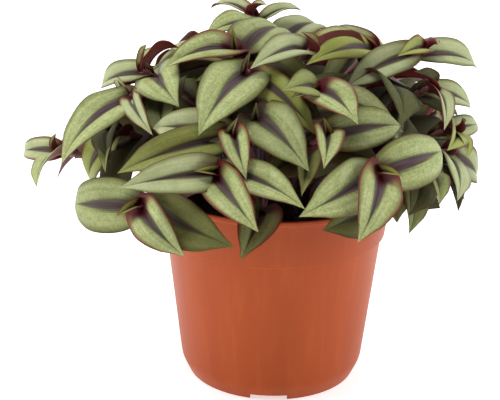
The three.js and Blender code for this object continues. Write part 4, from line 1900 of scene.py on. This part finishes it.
@dataclass(frozen=True)
class Soil:
    """The soil: a rough bed that fills the pot, with loose crumbs lying on it."""

    rings: int = 56
    segments: int = 120
    edge_drop: float = 1
    top_within: float = 0.5
    relief: float = 1.5
    roughness_size: float = 5
    grain_size: float = 1.6
    grain_relief: float = 0.7
    grain_layer: float = 9
    crumbs: int = 620
    crumb_size: tuple[float, float] = (0.5, 1.7)
    crumb_depth: tuple[float, float] = (0.5, 1)
    crumb_height: tuple[float, float] = (0.4, 0.8)
    crumb_stand: float = 0.2
    crumb_raggedness: float = 0.25
    clear_edge: float = 1.2
    seed: int = 77

    def height(self, x: float, y: float) -> float:
        """The bed's height above its middle at a place, in millimetres."""
        broad = noise.noise(Vector((x, y, 0)) / self.roughness_size) * self.relief
        return broad + noise.noise(Vector((x, y, self.grain_layer)) / self.grain_size) * self.grain_relief

    def bed(self, radius: float, low: float, foot: float) -> bpy.types.Mesh:
        """The bed as a closed body.

        Args:
            radius: The radius at its top.
            low: The height of its underside.
            foot: The radius of its underside.

        Returns:
            The mesh, in metres.
        """
        outline = [(0, low), (foot, low), (radius, SOIL_TOP - self.edge_drop)]
        outline += [(radius * (1 - ring / self.rings), SOIL_TOP) for ring in range(self.rings + 1)]
        mesh = turned_mesh("soil_bed", outline, self.segments)
        for vertex in mesh.vertices:
            if vertex.co.z > (SOIL_TOP - self.top_within) * MM:
                vertex.co.z += self.height(vertex.co.x / MM, vertex.co.y / MM) * MM
        return mesh

    def scattered(self, radius: float) -> bpy.types.Mesh:
        """Crumbs that lie on the bed.

        Args:
            radius: How far out they lie.

        Returns:
            The mesh, in metres.
        """
        draws = Draws(self.seed)
        noise.seed_set(self.seed)
        made = bmesh.new()
        for _ in range(self.crumbs):
            out = radius * math.sqrt(draws.draw())
            angle = 2 * math.pi * draws.draw()
            x, y = out * math.cos(angle), out * math.sin(angle)
            size = draws.between(*self.crumb_size)
            depth, height = draws.between(*self.crumb_depth), draws.between(*self.crumb_height)
            squash = Matrix.Diagonal((size, size * depth, size * height, 1))
            turn = Matrix.Rotation(2 * math.pi * draws.draw(), 4, "Z")
            stand = SOIL_TOP + self.height(x, y) + size * self.crumb_stand
            matrix = Matrix.Scale(MM, 4) @ Matrix.Translation((x, y, stand)) @ turn @ squash
            crumb = bmesh.ops.create_icosphere(made, subdivisions=1, radius=1, matrix=matrix)
            for vertex in crumb["verts"]:
                vertex.co += noise.noise_vector(vertex.co / MM) * size * self.crumb_raggedness * MM
        return meshed(made, "soil_crumbs")

    def build(self) -> list[bpy.types.Object]:
        """Builds and dresses the soil.

        Returns:
            The bed that replaces the packed soil, and the crumbs on it.
        """
        low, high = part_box("soil")
        radius = high.x / MM
        foot = Pot().foot_radius - Pot().wall * 2
        material = SoilCrumbs().material()
        meshes = (self.bed(radius, low.z / MM, foot), self.scattered(radius - self.clear_edge))
        pieces = []
        for mesh in meshes:
            mesh.materials.append(material)
            pieces.append(dressed(linked(mesh.name, smooth(mesh))))
        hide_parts("soil")
        return pieces


# ---- Studio --------------------------------------------------------------------------------------


@dataclass(frozen=True)
class Softbox:
    """A square soft light that faces the plant."""

    name: str
    place: Place
    power: float
    size: float

    def build(self, target: Vector) -> None:
        """Hangs the light.

        Args:
            target: What it is turned to.
        """
        lamp = bpy.data.lights.new(self.name, "AREA")
        lamp.energy = self.power
        lamp.size = self.size
        made = linked(self.name, lamp)
        made.location = self.place
        made.rotation_euler = (target - Vector(self.place)).to_track_quat("-Z", "Y").to_euler()


@dataclass(frozen=True)
class Studio:
    """The pale floor, the soft lights and the camera at the photograph's viewing angle."""

    floor_radius: float = 4
    floor_segments: int = 96
    floor_colour: Colour = (0.8, 0.8, 0.8)
    floor_roughness: float = 0.9
    floor_glow: float = 0.6
    white: Colour = (1.0, 1.0, 1.0)
    sky_front: float = 0.36
    sky_back: float = 1.0
    sky_turn: tuple[float, float] = (-0.7, 0.5)
    lights: tuple[Softbox, ...] = (
        Softbox("top", place=(-0.5, -0.5, 1.9), power=28, size=0.9),
        Softbox("left", place=(-1.4, -0.1, 0.5), power=8.5, size=0.8),
        Softbox("right", place=(1.4, 0.0, 0.5), power=10.5, size=0.8),
    )
    sensor: float = 36

    def floor(self) -> bpy.types.Object:
        """Makes the floor.

        Returns:
            The round floor, which glows a little.
        """
        made = bmesh.new()
        bmesh.ops.create_circle(made, cap_ends=True, segments=self.floor_segments, radius=self.floor_radius)
        mesh = meshed(made, "floor")
        material = bpy.data.materials.new("floor")
        glow = {"Emission_Color": self.white, "Emission_Strength": self.floor_glow}
        Graph(material).set(Base_Color=self.floor_colour, Roughness=self.floor_roughness, **glow)
        mesh.materials.append(material)
        return linked("floor", mesh)

    def sky(self) -> bpy.types.World:
        """Makes the sky.

        Returns:
            A white world that is brighter behind the plant.
        """
        world = bpy.data.worlds.new("sky")
        graph = Graph(world, "Background")
        _, depth, _ = graph.parts(graph.node("ShaderNodeTexCoord", output="Generated"))
        brightness = self.sky_front + depth.rising(*self.sky_turn) * (self.sky_back - self.sky_front)
        graph.set(Color=self.white, Strength=brightness)
        return world

    def camera(self) -> bpy.types.Object:
        """Makes the camera.

        Returns:
            The camera, at the photograph's place.
        """
        lens = bpy.data.cameras.new("camera")
        lens.sensor_width = self.sensor
        lens.lens = VIEW.focal / VIEW.width * self.sensor
        made = linked("camera", lens)
        aim = (-Vector(VIEW.back)).to_track_quat("-Z", "Y").to_matrix().to_4x4()
        roll = Matrix.Rotation(math.radians(VIEW.roll), 4, "Z")
        made.matrix_world = Matrix.Translation(Vector(VIEW.eye) * MM) @ aim @ roll
        return made

    def build(self) -> None:
        """Sets up the studio."""
        self.floor()
        for light in self.lights:
            light.build(Vector(VIEW.target) * MM)
        scene = bpy.context.scene
        scene.world = self.sky()
        scene.view_settings.view_transform = "Standard"
        scene.camera = self.camera()


def main() -> None:
    """Builds the pot, its soil, the plant and the studio, in that order."""
    logging.basicConfig(level=logging.INFO, format="%(message)s")
    builders: tuple[Callable[[], object], ...] = (Pot().build, Soil().build, Foliage().build)
    for build in builders:
        made = build()
        for piece in made if isinstance(made, list) else [made]:
            LOG.info("%s: %d faces", piece.name, len(piece.data.polygons))
    Studio().build()


if __name__ == "__main__":
    main()
